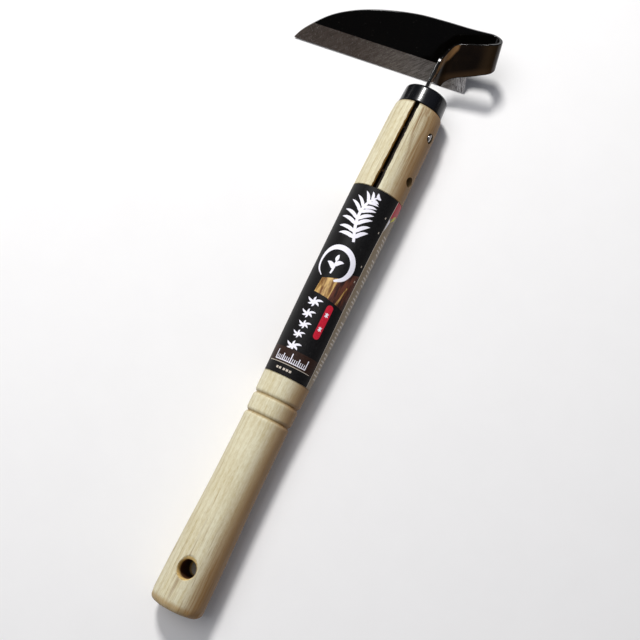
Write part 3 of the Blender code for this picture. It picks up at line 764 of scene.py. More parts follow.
# ---- label ------------------------------------------------------------------------------
PRINT_BLACK, PRINT_SIDE, PRINT_WHITE, PRINT_RED, PRINT_BAND, PRINT_GOLD, PRINT_MAROON, \
    PRINT_LINE, PRINT_YELLOW, PAPER_EDGE = range(10)
SEAM = -280.0                      # where the sleeve's ends overlap, degrees
SEAM_STEP = 0.08 * MM
LAP = (0.0005, 0.9965)             # where round the sleeve its two ends meet
PANEL_MIDDLE = -100.0
PRINT_STEP = 0.6                   # longest straight step of a printed outline, millimetres
LABEL_R0 = 13.0
PANEL_RIGHT = [(118.7, -35.8), (128, -37), (142, -39.5), (160, -43), (182, -44), (195, -44),
               (208, -41.5), (220.4, -38.5)]
PANEL_LEFT = -214.0
FROND_STEM = [(1.6, 191.2), (-0.9, 198.5), (-1.9, 206), (-0.2, 212.5), (3.6, 217)]
FROND_PAIRS = 9
RING_AT = (-1.7, 177.9)
RING_R = 8.6


def flat_x(angle):
    """Millimetres round the label from the front panel's middle."""
    return radians(angle - PANEL_MIDDLE) * LABEL_R0


def brush(points, width, lead=0.3, tail=0.05, steps=7):
    """Outline of a brush stroke: a smooth line whose width swells and tapers."""
    line = [Vector(p) for p in smooth_through(points, steps)]
    last = len(line) - 1
    left, right = [], []
    for i, p in enumerate(line):
        way = (line[min(i + 1, last)] - line[max(i - 1, 0)]).normalized()
        side = Vector((-way.y, way.x))
        t = i / last
        swell = lead + (1 - lead) * min(t / 0.22, 1.0) ** 0.7
        fade = 1 - (1 - tail) * max((t - 0.45) / 0.55, 0.0) ** 1.7
        half = width / 2 * swell * fade
        left.append(tuple(p + side * half))
        right.append(tuple(p - side * half))
    return left + right[::-1]


def leaf(x, y, angle, length, width, bow=0.12):
    """One leaf-shaped dab from its root."""
    way = Vector((cos(radians(angle)), sin(radians(angle))))
    side = Vector((-way.y, way.x))
    root = Vector((x, y))
    line = [tuple(root + way * length * t + side * length * bow * sin(pi * t))
            for t in (0, 0.35, 0.7, 1)]
    return brush(line, width, 0.15, 0.0)


def box_shape(x0, y0, x1, y1):
    return [(x0, y0), (x1, y0), (x1, y1), (x0, y1)]


def pill_shape(x, y0, y1, half, steps=12):
    low, high = y0 + half, y1 - half
    pts = [(x + half * cos(pi * k / steps), high + half * sin(pi * k / steps))
           for k in range(steps + 1)]
    return pts + [(x - half * cos(pi * k / steps), low - half * sin(pi * k / steps))
                  for k in range(steps + 1)]


def panel_edge(y, inset=0.0):
    heights, angles = zip(*PANEL_RIGHT)
    return flat_x(float(np.interp(y, heights, angles))) - inset


def label_shapes():
    """The generic print: (surface, outline) pairs, later ones on top."""
    y0, y1 = LABEL_LOW / MM, LABEL_HIGH / MM
    rows = np.linspace(y0, y1, 24)
    left = flat_x(PANEL_LEFT)
    front = [(panel_edge(y), y) for y in rows] + [(left, y1), (left, y0)]
    border = [(panel_edge(y) + 0.35, y) for y in rows]
    border += [(panel_edge(y), y) for y in rows[::-1]]
    shapes = [(PRINT_BLACK, front), (PRINT_LINE, border)]

    def add(surface, outline):
        shapes.append((surface, outline))

    # side panel: rows of plain bars in place of small print, and a corner flash
    for k, y in enumerate(np.arange(y0 + 5, 203, 1.9)):
        start = flat_x(-30) + 1.2 * (k % 3 == 0)
        end = flat_x(62) - 1.7 * ((k * 7) % 5)
        if k % 9 != 8:
            add(PRINT_LINE, box_shape(start, y, end, y + 0.7))
    right = flat_x(-8)
    add(PRINT_RED, [(panel_edge(y1) + 0.35, y1), (panel_edge(211) + 0.35, 211),
                    (right, 214.5), (right, y1)])
    add(PRINT_YELLOW, [(panel_edge(209) + 1.9, 209.6), (panel_edge(209) + 4.6, 211.5),
                       (panel_edge(209) + 5.4, 214.3), (panel_edge(209) + 3.0, 213)])
    add(PRINT_WHITE, [(panel_edge(204) + 0.5, 203.5), (panel_edge(209) + 1.7, 209.6),
                      (panel_edge(209) + 0.4, 210.6)])
    # gold and maroon picture block behind the second motif
    add(PRINT_GOLD, [(-5.4, 161.9), (2.6, 160.9), (3.4, 172), (-4.7, 169.4)])
    add(PRINT_MAROON, [(2.6, 160.6), (panel_edge(160, 0.1), 158.9),
                       (panel_edge(176, 0.1), 178), (6.5, 176), (3.4, 171)])
    add(PRINT_GOLD, [(6.9, 160.0), (7.9, 159.8), (9.3, 169.5), (8.7, 170)])
    # first motif: a fern frond with paired leaves that shrink toward its curled tip
    stem = smooth_through(FROND_STEM, 8)
    motifs = [brush(FROND_STEM, 1.5, 0.9, 0.35)]
    for k in range(FROND_PAIRS):
        at = 2 + k * (len(stem) - 5) / (FROND_PAIRS - 1)
        here, ahead = Vector(stem[int(at)]), Vector(stem[int(at) + 2])
        heading = degrees(atan2(ahead.y - here.y, ahead.x - here.x))
        share = k / (FROND_PAIRS - 1)
        length = 10.6 * sin(pi * (0.34 + 0.58 * share))
        for side in (-1, 1):
            motifs.append(leaf(here.x, here.y, heading + side * (66 - 14 * share),
                               length * (0.94 if side > 0 else 0.8), 2.0 - 0.7 * share,
                               -0.1 * side))
    # second motif: an open brushed ring with a seedling inside
    ring = [(RING_AT[0] + RING_R * cos(radians(a)), RING_AT[1] + RING_R * sin(radians(a)))
            for a in range(-70, 241, 31)]
    motifs += [brush(ring, 2.7, 0.35, 0.12), brush([(-1.9, 172.6), (-1.5, 176.4), (-1.8, 179.6)],
                                                   1.0, 0.8, 0.4),
               leaf(-1.8, 176.6, 38, 5.0, 2.1, 0.16), leaf(-1.7, 175.0, 146, 5.2, 2.2, -0.16),
               leaf(-1.8, 179.2, 88, 3.6, 1.7, 0.05)]
    shapes += [(PRINT_WHITE, s) for s in motifs]
    # column of small leaf stars
    for x, y, size in ((-2.8, 156.6, 3.6), (-3.2, 150.3, 3.3), (-2.4, 144.6, 3.0),
                       (-3.0, 139.4, 2.9), (-2.8, 133.2, 3.6)):
        for turn, share in ((20, 1.25), (90, 0.75), (160, 1.25), (262, 0.75), (205, 0.95),
                            (335, 0.9)):
            add(PRINT_WHITE, leaf(x, y + 0.3, turn, size * share, size * 0.32))
    # red pill with two pale marks
    add(PRINT_RED, pill_shape(5.7, 140.7, 158.6, 1.75))
    for y in (153.4, 146.0):
        for turn in (45, 135, 225, 315, 90, 270):
            add(PRINT_WHITE, leaf(5.7, y, turn, 1.35, 0.55, 0.0))
    # brown band with a plain measuring scale, black strip with a thin line and small blocks
    for surface, top in ((PRINT_BAND, 131.8), (PRINT_BLACK, 123.9)):
        add(surface, [(left, y0), (panel_edge(y0), y0), (panel_edge(top), top), (left, top)])
    for k in range(17):
        x = -9.4 + k * 1.1
        tall = 4.6 if k % 8 == 0 else (3.4 if k % 4 == 0 else 2.2)
        wide = 0.26 if k % 4 == 0 else 0.17
        add(PRINT_WHITE, box_shape(x - wide, 125.4, x + wide, 125.4 + tall))
    add(PRINT_WHITE, box_shape(-9.6, 125.2, 8.4, 125.6))
    add(PRINT_LINE, box_shape(-13.6, 124.0, 12.3, 124.28))
    for k in range(5):
        x = -6.3 + k * 1.75 + (0.5 if k > 1 else 0)
        add(PRINT_LINE, box_shape(x, 121.0, x + 1.2, 122.1))
    for x, y in ((11.0, 209.5), (11.1, 201.4), (10.9, 182.6), (11.2, 174.5)):
        add(PRINT_LINE, box_shape(x - 0.25, y - 0.5, x + 0.25, y + 0.5))
    return shapes


def closely(outline):
    """The outline with extra points, so that its long sides follow the curved sleeve."""
    out = []
    for a, b in zip(outline, outline[1:] + outline[:1]):
        count = max(int(hypot(b[0] - a[0], b[1] - a[1]) / PRINT_STEP), 1)
        out += [(a[0] + (b[0] - a[0]) * k / count, a[1] + (b[1] - a[1]) * k / count)
                for k in range(count)]
    return out


def label_mesh():
    y0, y1 = LABEL_LOW / MM, LABEL_HIGH / MM
    x0, x1 = flat_x(SEAM), flat_x(SEAM + 360)
    shapes = label_shapes()
    columns, rows = 144, 40
    xs = [x0 + (x1 - x0) * i / columns for i in range(columns + 1)]
    ys = [y0 + (y1 - y0) * j / rows for j in range(rows + 1)]
    flat = [(x, y) for x in xs for y in ys]
    edges = [(j, j + 1) for j in range(rows)]
    edges += [(columns * (rows + 1) + j, columns * (rows + 1) + j + 1) for j in range(rows)]
    edges += [(i * (rows + 1) + j, (i + 1) * (rows + 1) + j) for i in range(columns)
              for j in (0, rows)]
    faces = []
    for _, outline in shapes:
        outline = closely(outline)
        start = len(flat)
        flat += [(x, min(max(y, y0), y1)) for x, y in outline]
        area = sum(a[0] * b[1] - b[0] * a[1] for a, b in zip(outline, outline[1:] + outline[:1]))
        ids = list(range(start, len(flat)))
        faces.append(ids if area > 0 else ids[::-1])
    points2d, _, tris, _, _, origin = geometry.delaunay_2d_cdt(
        [Vector(p) for p in flat], edges, faces, 0, 1e-4, True)

    angle_of = [SEAM + 360 * (p.x - x0) / (x1 - x0) for p in points2d]

    def sleeve_point(v, sink):
        y = points2d[v].y * MM
        return direction(angle_of[v]) * (barrel_radius(y) + LABEL_PROUD - sink) + AXIS_Z * y

    def dip(v):
        share = (angle_of[v] - SEAM) / 360
        return SEAM_STEP * (1 - share) if LAP[0] <= share <= LAP[1] else 0.0

    inner_at = len(points2d)
    verts = [sleeve_point(v, dip(v)) for v in range(inner_at)]
    verts += [sleeve_point(v, LABEL_T) for v in range(inner_at)]
    face_list, looks, corners = [], [], []
    for t, source in zip(tris, origin):
        a, b, c = (verts[v] for v in t)
        middle = direction(sum(angle_of[v] for v in t) / 3)
        order = list(t) if (b - a).cross(c - a).dot(middle) > 0 else list(t)[::-1]
        face_list.append(order)
        corners += [direction(angle_of[v]) for v in order]
        top = max(source) if source else None
        looks.append(PRINT_SIDE if top is None else shapes[top][0])
        face_list.append([inner_at + v for v in order[::-1]])
        corners += [-direction(angle_of[v]) for v in order[::-1]]
        looks.append(PAPER_EDGE)
    for level, up in ((y0, -1), (y1, 1)):
        line = sorted((v for v, p in enumerate(points2d) if abs(p.y - level) < 1e-3),
                      key=lambda v: points2d[v].x)
        for a, b in zip(line, line[1:]):
            quad = [a, b, inner_at + b, inner_at + a]
            pts = [verts[q] for q in quad[:3]]
            if (pts[1] - pts[0]).cross(pts[2] - pts[1]).z * up < 0:
                quad = quad[::-1]
            face_list.append(quad)
            corners += [AXIS_Z * up] * 4
            looks.append(PAPER_EDGE)
    return mesh_from("label_sleeve", verts, face_list, looks, corners)


# ======== surfaces ===========================================================================
def srgb(red, green, blue):
    """Linear colour from 0-255 display values."""
    def line(c):
        c /= 255
        return c / 12.92 if c <= 0.04045 else ((c + 0.055) / 1.055) ** 2.4
    return (line(red), line(green), line(blue))


class Look:
    """A material under construction, with short ways to add and join nodes."""

    def __init__(self, name, colour, **sockets):
        self.mat = bpy.data.materials.new(name)
        self.mat.use_nodes = True
        self.tree = self.mat.node_tree
        self.shader = self.tree.nodes["Principled BSDF"]
        self.shader.inputs["Base Color"].default_value = (*colour, 1)
        for socket, value in sockets.items():
            self.shader.inputs[socket.replace("_", " ")].default_value = value
        here = self.tree.nodes.new("ShaderNodeTexCoord").outputs["Object"]
        # millimetres from the handle's axis at the butt: x, along the handle, up
        self.place = self.mapped(here, shift=-AXIS_AT / MM, scale=(1 / MM,) * 3)

    def fill(self, socket, value):
        if isinstance(value, bpy.types.NodeSocket):
            self.tree.links.new(value, socket)
        elif isinstance(value, tuple) and len(value) == 3 and socket.type == "RGBA":
            socket.default_value = (*value, 1)
        else:
            socket.default_value = value

    def mapped(self, vector, shift=(0, 0, 0), turn=(0, 0, 0), scale=(1, 1, 1)):
        node = self.tree.nodes.new("ShaderNodeMapping")
        self.tree.links.new(vector, node.inputs["Vector"])
        node.inputs["Location"].default_value = shift
        node.inputs["Rotation"].default_value = turn
        node.inputs["Scale"].default_value = scale
        return node.outputs["Vector"]

    def noise(self, stretch, detail=2.0, rough=0.5, distort=0.0, shift=(0, 0, 0), vector=None):
        node = self.tree.nodes.new("ShaderNodeTexNoise")
        spot = self.mapped(vector or self.place, shift=shift, scale=stretch)
        self.tree.links.new(spot, node.inputs["Vector"])
        node.inputs["Scale"].default_value = 1.0
        node.inputs["Detail"].default_value = detail
        node.inputs["Roughness"].default_value = rough
        node.inputs["Distortion"].default_value = distort
        return node.outputs["Fac"]

    def math(self, operation, a, b=0.0, clamp=False):
        node = self.tree.nodes.new("ShaderNodeMath")
        node.operation = operation
        node.use_clamp = clamp
        self.fill(node.inputs[0], a)
        self.fill(node.inputs[1], b)
        return node.outputs[0]

    def times(self, a, b):
        return self.math("MULTIPLY", a, b)

    def plus(self, a, b, clamp=False):
        return self.math("ADD", a, b, clamp)

    def span(self, value, low, high, to_low=0.0, to_high=1.0):
        """value from low..high to to_low..to_high, clamped, with eased ends."""
        node = self.tree.nodes.new("ShaderNodeMapRange")
        node.interpolation_type = "SMOOTHSTEP"
        self.fill(node.inputs["Value"], value)
        for socket, number in (("From Min", low), ("From Max", high), ("To Min", to_low),
                               ("To Max", to_high)):
            node.inputs[socket].default_value = number
        return node.outputs["Result"]

    def mix(self, factor, a, b):
        node = self.tree.nodes.new("ShaderNodeMix")
        node.data_type = "RGBA"
        self.fill(node.inputs[0], factor)
        self.fill(node.inputs[6], a)
        self.fill(node.inputs[7], b)
        return node.outputs[2]

    def stain(self, tone, value, low, high, amount, colour):
        """tone, going over to the colour by the amount as value goes from low to high."""
        return self.mix(self.span(value, low, high, 0.0, amount), tone, colour)

    def split(self):
        node = self.tree.nodes.new("ShaderNodeSeparateXYZ")
        self.tree.links.new(self.place, node.inputs[0])
        return node.outputs

    def along(self, way):
        """Millimetres along a tool-frame direction."""
        node = self.tree.nodes.new("ShaderNodeVectorMath")
        node.operation = "DOT_PRODUCT"
        self.tree.links.new(self.place, node.inputs[0])
        node.inputs[1].default_value = TURN @ way
        return node.outputs["Value"]

    def bump(self, height, depth, strength=1.0, under=None):
        node = self.tree.nodes.new("ShaderNodeBump")
        self.tree.links.new(height, node.inputs["Height"])
        node.inputs["Distance"].default_value = depth
        node.inputs["Strength"].default_value = strength
        if under is not None:
            self.tree.links.new(under, node.inputs["Normal"])
        return node.outputs["Normal"]

    def done(self, **links):
        for socket, value in links.items():
            self.tree.links.new(value, self.shader.inputs[socket.replace("_", " ")])
        return self.mat


PITH = (62.0, 0.0, 34.0)           # the tree's centre, millimetres beside the handle


def wood_tone(look, light, dark):
    """Growth rings, fibres, flecks and pores; returns colour and two grain heights."""
    wave = look.tree.nodes.new("ShaderNodeTexWave")
    wave.wave_type, wave.rings_direction = "RINGS", "Y"
    spot = look.mapped(look.place, shift=tuple(c * 0.1 for c in PITH),
                       scale=(0.1, 0.0012, 0.1))
    look.tree.links.new(spot, wave.inputs["Vector"])
    wave.inputs["Scale"].default_value = 1.0
    wave.inputs["Distortion"].default_value = 2.2
    wave.inputs["Detail"].default_value = 3.0
    wave.inputs["Detail Scale"].default_value = 0.9
    wave.inputs["Detail Roughness"].default_value = 0.6
    warp = look.noise((0.06, 0.014, 0.06), 3.0, 0.55)
    look.tree.links.new(look.times(warp, 7.0), wave.inputs["Phase Offset"])
    rings = look.span(wave.outputs["Fac"], 0.3, 1.0)
    fibre = look.noise((1.5, 0.07, 1.5), 4.0, 0.65, shift=(3, 0, 8))
    hair = look.noise((4.2, 0.35, 4.2), 3.0, 0.65, shift=(11, 4, 0))
    patch = look.noise((0.11, 0.045, 0.11), 3.0, 0.55, shift=(5, 5, 5))
    fleck = look.noise((1.3, 0.42, 1.3), 3.0, 0.65, shift=(1, 9, 2))
    depth = look.plus(look.times(rings, 0.24), look.times(look.span(fibre, 0.36, 0.66), 0.22))
    depth = look.plus(depth, look.times(look.span(patch, 0.3, 0.7), 0.3))
    depth = look.plus(depth, look.span(fleck, 0.34, 0.68, -0.16, 0.2))
    depth = look.plus(depth, look.span(hair, 0.38, 0.64, -0.07, 0.09), clamp=True)
    tone = look.mix(depth, light, dark)
    tone = look.mix(look.span(hair, 0.6, 0.74, 0.0, 0.22), tone, tuple(c * 0.6 for c in dark))
    return tone, fibre, hair


def wood_look():
    look = Look("pale_turned_wood", srgb(205, 190, 145), Specular_IOR_Level=0.35)
    tone, fibre, hair = wood_tone(look, srgb(215, 209, 181), srgb(186, 171, 130))
    across, along, _ = look.split()
    # thin brown streaks, mostly near the head, and a smoky patch beside the hanging hole
    streak = look.noise((0.75, 0.022, 0.75), 3.0, 0.55, 0.3, shift=(0, 3, 17))
    toward = look.math("MAXIMUM", look.span(along, 205, 250), look.span(along, 62, 20, 0.0, 0.75))
    mask = look.times(look.span(streak, 0.55, 0.7), toward)
    tone = look.mix(look.times(mask, 0.75), tone, srgb(124, 90, 48))
    line = look.noise((1.15, 0.03, 1.15), 3.0, 0.65, 0.2, shift=(7, 3, 17))
    right = look.times(toward, look.span(across, -3.0, 4.0, 0.25, 1.0))
    mask = look.times(look.span(line, 0.52, 0.6), right)
    tone = look.mix(look.times(mask, 0.6), tone, srgb(120, 88, 48))
    rare = look.noise((1.2, 0.05, 1.2), 2.0, 0.5, shift=(31, 3, 1))
    tone = look.stain(tone, rare, 0.66, 0.78, 0.45, srgb(140, 108, 62))
    # painted shade with a little burnish in the grooves; darker at the ferrule's shoulder and on
    # the butt's edge
    for middle in GROOVES:
        off = look.math("ABSOLUTE", look.math("SUBTRACT", along, middle / MM))
        tone = look.mix(look.span(off, 0.2, 1.15, 0.62, 0.0), tone, srgb(142, 112, 58))
    tone = look.stain(tone, along, 268.2, 269.9, 0.6, srgb(120, 92, 50))
    tone = look.stain(tone, along, 4.8, 2.4, 0.7, srgb(158, 126, 76))
    # painted shade: the side away from the blade is darkened to brown, where the handle lies in
    # shade
    tone = look.stain(tone, across, -0.5, 10.6, 0.92, srgb(138, 99, 50))
    rough = look.span(fibre, 0.3, 0.7, 0.5, 0.66)
    lumps = look.noise((0.5, 0.2, 0.5), 2.0, 0.5)
    normal = look.bump(fibre, 0.06 * MM, 0.55)
    normal = look.bump(hair, 0.03 * MM, 0.6, normal)
    normal = look.bump(lumps, 0.05 * MM, 0.5, normal)
    return look.done(Base_Color=tone, Roughness=rough, Normal=normal)


def raw_cut_look():
    """Sawn and drilled wood, rough; lighter near the surface as painted light, darker with depth
    as painted shade.
    """
    look = Look("raw_cut_wood", srgb(120, 95, 55), Specular_IOR_Level=0.2)
    tone, _, hair = wood_tone(look, srgb(214, 196, 146), srgb(170, 142, 90))
    x, _, z = look.split()
    radius = look.math("SQRT", look.plus(look.times(x, x), look.times(z, z)))
    # painted light on the cut walls near the surface
    tone = look.stain(tone, radius, 13.1, 11.4, 0.9, srgb(232, 196, 124))
    # painted shade deeper in the kerf and the holes
    tone = look.stain(tone, radius, 10.8, 7.0, 0.97, srgb(66, 30, 16))
    # painted shade in the nails' seats, on the side away from the blade
    tone = look.stain(tone, x, 7.0, 9.0, 0.85, srgb(66, 40, 20))
    saw = look.noise((0.6, 3.5, 0.6), 3.0, 0.6)
    tone = look.stain(tone, saw, 0.45, 0.7, 0.35, srgb(88, 64, 34))
    normal = look.bump(saw, 0.14 * MM, 0.7)
    return look.done(Base_Color=tone, Roughness=look.span(hair, 0.3, 0.7, 0.72, 0.9),
                     Normal=normal)


def lacquer_look(name, tint, low_rough, high_rough, coat, shine, part=""):
    """Dipped black lacquer on steel, with specks, wipe marks and slight orange peel."""
    look = Look(name, tint, Coat_Weight=coat, Coat_Roughness=0.06, Specular_IOR_Level=shine)
    speck = look.noise((1.5, 1.5, 1.5), 2.0, 0.6, shift=(2, 7, 1))
    dust = look.noise((0.25, 0.25, 0.25), 2.0, 0.5)
    some = look.times(look.span(speck, 0.7, 0.75), look.span(dust, 0.45, 0.66))
    tone = look.mix(look.times(some, 0.45), tint, srgb(120, 116, 110))
    cloud = look.noise((0.11, 0.07, 0.11), 3.0, 0.6, shift=(8, 1, 3))
    tone = look.mix(look.span(cloud, 0.35, 0.75, 0.0, 0.35), tone, tuple(c * 1.8 for c in tint))
    wipe = look.noise((2.8, 0.18, 2.8), 3.0, 0.6, shift=(0, 2, 6))
    rough = look.span(wipe, 0.35, 0.75, low_rough, high_rough)
    rough = look.plus(rough, look.times(some, 0.25))
    if part == "strap":
        # painted reflection: the brown tones over the strap's outer face, strongest beside the
        # neck, stand in for reflected brown surroundings
        across = look.math("SUBTRACT", look.along(ALONG), ALONG.dot(STRAP_ORIGIN) / MM)
        down = look.math("SUBTRACT", look.along(ACROSS), ACROSS.dot(STRAP_ORIGIN) / MM)
        blotch = look.noise((0.13, 0.05, 0.13), 2.0, 0.5, shift=(6, 2, 2))
        brown = look.mix(look.span(blotch, 0.35, 0.65), srgb(18, 11, 6), srgb(30, 20, 11))
        brown = look.stain(brown, across, -5.0, 0.5, 0.8, srgb(52, 38, 22))
        low = look.plus(down, look.times(across, 0.36))
        brown = look.stain(brown, low, 13.5, 17.0, 0.8, srgb(66, 48, 30))
        shore = look.plus(across, look.times(down, 0.5))
        shore = look.plus(shore, look.times(blotch, 6.0))
        brown = look.mix(look.span(shore, -7.8, -9.6), brown, srgb(140, 104, 66))
        tone = look.mix(0.93, tone, brown)
    if part:
        # burnt dull on the tang, inside the wood
        _, height, _ = look.split()
        burnt = look.span(height, 279, 274)
        scale = look.noise((0.9, 0.5, 0.9), 3.0, 0.6, shift=(1, 1, 8))
        tone = look.mix(burnt, tone, look.mix(scale, srgb(20, 17, 15), srgb(48, 40, 34)))
        rough = look.math("MAXIMUM", rough, look.times(burnt, 0.7))
    peel = look.noise((0.8, 0.8, 0.8), 1.0, 0.5)
    fine = look.noise((2.4, 2.4, 2.4), 2.0, 0.5)
    normal = look.bump(peel, 0.014 * MM, 0.6)
    normal = look.bump(fine, 0.001 * MM, 0.5, normal)
    return look.done(Base_Color=tone, Roughness=rough, Normal=normal)


def ground_look():
    """The bare ground bevel: dark steel with grinding marks across the edge."""
    look = Look("ground_steel", srgb(96, 88, 82), Metallic=0.55)
    rows = [TURN @ v for v in (ALONG, ACROSS, FACE)]
    euler = Matrix([tuple(r) for r in rows]).to_euler()
    blade = look.mapped(look.place, turn=tuple(euler))
    grind = look.noise((1.7, 0.14, 1.7), 4.0, 0.75, vector=look.mapped(blade, turn=(0, 0, 0.45)))
    cross = look.noise((2.2, 0.24, 2.2), 3.0, 0.7, vector=look.mapped(blade, turn=(0, 0, -0.6)))
    grit = look.noise((1.7, 1.7, 1.7), 5.0, 0.85, shift=(4, 4, 4))
    blotch = look.noise((0.1, 0.16, 0.1), 2.0, 0.5, shift=(3, 3, 9))
    run = look.math("SUBTRACT", look.along(ALONG), ALONG.dot(BEND_START) / MM)
    tone = look.mix(look.span(grind, 0.36, 0.66), srgb(78, 68, 62), srgb(106, 95, 88))
    tone = look.stain(tone, blotch, 0.35, 0.7, 0.3, srgb(70, 58, 52))
    # painted light: the bevel is made lighter toward the heel, where the strap shades it
    bright = look.mix(look.span(grind, 0.38, 0.62), srgb(114, 107, 102), srgb(166, 160, 154))
    tone = look.mix(look.span(run, -70.0, -14.0), tone, bright)
    # painted light: the heel's corner, shaded by the strap, is made much lighter, with scratch
    # marks
    heel = look.mix(look.span(cross, 0.42, 0.58), srgb(140, 136, 136), srgb(250, 248, 248))
    tone = look.mix(look.span(run, -16.0, -9.0), tone, heel)
    tone = look.stain(tone, cross, 0.54, 0.7, 0.4, srgb(150, 142, 136))
    # painted glints: bright white specks in the grit
    tone = look.stain(tone, grit, 0.61, 0.66, 0.95, srgb(235, 230, 222))
    tone = look.stain(tone, grit, 0.42, 0.36, 0.3, srgb(52, 44, 40))
    rough = look.span(grind, 0.3, 0.7, 0.4, 0.58)
    normal = look.bump(grind, 0.03 * MM, 0.7)
    normal = look.bump(cross, 0.02 * MM, 0.6, normal)
    normal = look.bump(grit, 0.03 * MM, 0.5, normal)
    return look.done(Base_Color=tone, Roughness=rough, Normal=normal)


def nail_look():
    look = Look("bright_nail_steel", srgb(190, 190, 195), Metallic=1.0)
    draw = look.noise((0.7, 0.7, 0.7), 3.0, 0.6)
    dent = look.noise((1.6, 1.6, 1.6), 2.0, 0.5, shift=(2, 2, 2))
    tone = look.mix(look.span(draw, 0.35, 0.7), srgb(205, 205, 210), srgb(128, 122, 116))
    normal = look.bump(dent, 0.06 * MM, 0.6)
    return look.done(Base_Color=tone, Roughness=look.span(draw, 0.3, 0.7, 0.16, 0.34),
                     Normal=normal)


def paper_wave(look):
    """Bump for the slight waves of paper wrapped round wood."""
    wave = look.noise((0.22, 0.05, 0.22), 2.0, 0.5, shift=(1, 1, 4))
    return look.bump(wave, 0.16 * MM, 0.5)


def ink_look(name, colour, variation=0.12, gloss=0.4, shine=0.3):
    """Printed coated paper: fine mottle, faint fibres and handling scuffs."""
    look = Look(name, colour, Specular_IOR_Level=shine)
    mottle = look.noise((1.5, 1.5, 1.5), 4.0, 0.7)
    scuff = look.noise((1.4, 0.25, 1.4), 3.0, 0.6, shift=(6, 6, 1))
    dark = tuple(c * (1 - variation) for c in colour)
    light = tuple(min(c * (1 + variation) + 0.004, 1) for c in colour)
    tone = look.mix(look.span(mottle, 0.35, 0.65), dark, light)
    tone = look.stain(tone, scuff, 0.66, 0.78, 0.12, srgb(150, 148, 145))
    tooth = look.noise((3.0, 3.0, 3.0), 2.0, 0.6)
    normal = look.bump(tooth, 0.006 * MM, 0.5, paper_wave(look))
    return look.done(Base_Color=tone, Normal=normal,
                     Roughness=look.span(mottle, 0.3, 0.7, gloss - 0.05, gloss + 0.08))


def picture_look(name, dark, light):
    """A soft printed picture: bands of wood-like colour."""
    look = Look(name, light, Specular_IOR_Level=0.45)
    band = look.noise((0.55, 0.09, 0.55), 3.0, 0.6, shift=(2, 5, 5))
    fine = look.noise((2.2, 0.5, 2.2), 3.0, 0.6)
    tone = look.mix(look.span(band, 0.36, 0.66), dark, light)
    tone = look.stain(tone, fine, 0.45, 0.7, 0.3, dark)
    return look.done(Base_Color=tone, Roughness=look.span(fine, 0.3, 0.7, 0.3, 0.42),
                     Normal=paper_wave(look))


def label_looks():
    """The surfaces in the order of their PRINT_ numbers."""
    return [
        ink_look("print_black", srgb(13, 12, 13), 0.2, 0.5, 0.16),
        ink_look("print_side_panel", srgb(136, 118, 92), 0.1),
        ink_look("print_white", srgb(233, 231, 240), 0.04),
        ink_look("print_red", srgb(190, 24, 48), 0.1),
        ink_look("print_band", srgb(44, 27, 20), 0.14, 0.5, 0.16),
        picture_look("print_gold", srgb(104, 62, 20), srgb(214, 176, 106)),
        picture_look("print_maroon", srgb(38, 20, 18), srgb(104, 58, 42)),
        ink_look("print_line", srgb(196, 186, 172), 0.08),
        ink_look("print_yellow", srgb(205, 195, 40), 0.08),
        ink_look("label_paper_edge", srgb(214, 208, 196), 0.06, 0.6),
    ]


# ======== the object =======================================================================
black = lacquer_look("black_lacquer", srgb(5, 4, 3), 0.07, 0.13, 0.0, 0.2, "body")
# black lacquer with painted reflection in brown on the strap
strap_lacquer_and_reflection = lacquer_look("strap_lacquer_and_painted_reflection", srgb(8, 6, 4), 0.09, 0.15, 0.0, 0.2, "strap")
cap_black = lacquer_look("ferrule_lacquer", srgb(8, 9, 13), 0.22, 0.3, 0.12, 0.3)
add_piece("blade_sheet", head_mesh(), [black, ground_look(), strap_lacquer_and_reflection], "blade")
add_piece("handle_turned", handle_mesh(), [wood_look(), raw_cut_look()], "handle")
add_piece("ferrule_cap", ferrule_mesh(), [cap_black], "ferrule")
add_piece("label_sleeve", label_mesh(), label_looks(), "label")
nail_surface = nail_look()
for nail_name in NAIL_HEIGHTS:
    add_piece(nail_name + "_wire", nail_mesh(nail_name), [nail_surface], nail_name)


# ======== floor, light, camera ===============================================================
FLOOR_HALF = 4.0


def make_floor():
    mesh = bpy.data.meshes.new("floor")
    mesh.from_pydata([(x * FLOOR_HALF, y * FLOOR_HALF, 0) for x, y in
                      ((-1, -1), (1, -1), (1, 1), (-1, 1))], [], [(0, 1, 2, 3)])
    look = Look("floor_paper", (0.86, 0.86, 0.855), Roughness=0.85, Specular_IOR_Level=0.2)
    grain = look.noise((0.05, 0.05, 0.05), 3.0, 0.6)
    tone = look.mix(grain, (0.88, 0.872, 0.86), (0.91, 0.902, 0.89))
    mesh.materials.append(look.done(Base_Color=tone))
    floor = linked("floor", mesh)


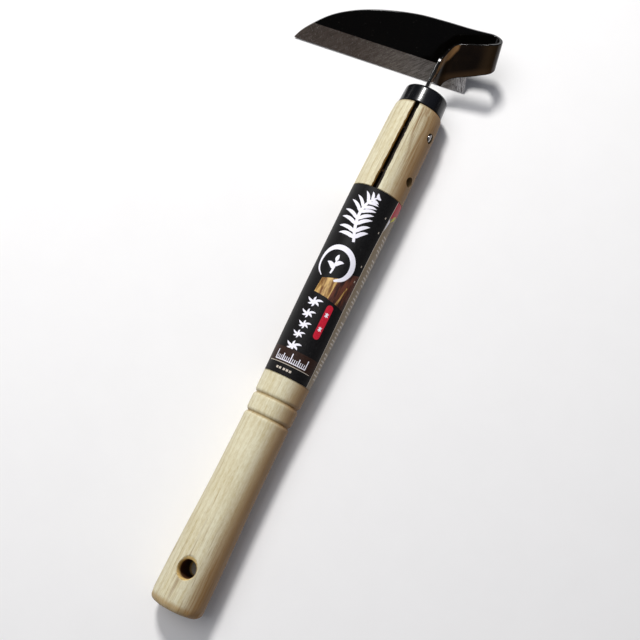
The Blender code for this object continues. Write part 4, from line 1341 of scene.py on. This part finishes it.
def area_light(name, toward, distance, size, power, colour, mirrored=True):
    """Round light in the given direction from the object's middle."""
    data = bpy.data.lights.new(name, "AREA")
    data.shape = "DISK"
    data.size = size
    data.energy = power
    data.color = colour
    light = linked(name, data)
    middle = (cad_low + cad_high) / 2
    way = Vector(toward).normalized()
    light.location = middle + way * distance
    light.rotation_mode = "QUATERNION"
    light.rotation_quaternion = way.to_track_quat("Z", "Y")
    light.visible_camera = False
    light.visible_glossy = mirrored


def make_world():
    world = bpy.data.worlds.new("soft_room")
    bpy.context.scene.world = world
    world.use_nodes = True
    tree = world.node_tree
    background = tree.nodes["Background"]
    where = tree.nodes.new("ShaderNodeTexCoord").outputs["Generated"]
    parts = tree.nodes.new("ShaderNodeSeparateXYZ")
    tree.links.new(where, parts.inputs[0])
    ramp = tree.nodes.new("ShaderNodeValToRGB")
    tree.links.new(parts.outputs["Z"], ramp.inputs["Fac"])
    stops = ramp.color_ramp.elements
    stops[0].position, stops[0].color = 0.0, (0.15, 0.14, 0.13, 1)
    stops[1].position, stops[1].color = 1.0, (0.26, 0.27, 0.30, 1)
    mid = stops.new(0.36)
    mid.color = (0.045, 0.042, 0.04, 1)
    high = stops.new(0.66)
    high.color = (0.15, 0.16, 0.19, 1)
    tree.links.new(ramp.outputs["Color"], background.inputs["Color"])
    background.inputs["Strength"].default_value = 1.0


CAMERA_AT = Vector((0.0, -464.31, 81.32)) * MM
CAMERA_RIGHT = Vector((0.8970, -0.0694, 0.4366))
CAMERA_FORWARD = Vector((0.0032, 0.9886, 0.1504))
CAMERA_LENS = 54.02


def make_camera():
    data = bpy.data.cameras.new("camera")
    data.sensor_width = 36.0
    data.lens = CAMERA_LENS
    data.clip_start = 0.01
    camera = linked("camera", data)
    forward = (TURN @ CAMERA_FORWARD).normalized()
    right = TURN @ CAMERA_RIGHT
    right = (right - forward * right.dot(forward)).normalized()
    up = right.cross(forward)
    turn = Matrix((right, up, -forward)).transposed()
    camera.matrix_world = Matrix.LocRotScale(TO_ROW @ CAMERA_AT, turn, None)
    bpy.context.scene.camera = camera


make_floor()
make_world()
area_light("key_light", (-0.371, 0.54, 0.755), 1.2, 0.2, 12.0, (1.0, 0.99, 0.98))
area_light("top_fill", (-0.45, 0.1, 0.9), 1.6, 1.1, 9.0, (0.98, 0.98, 1.0), mirrored=False)
make_camera()
bpy.context.scene.view_settings.view_transform = "Standard"
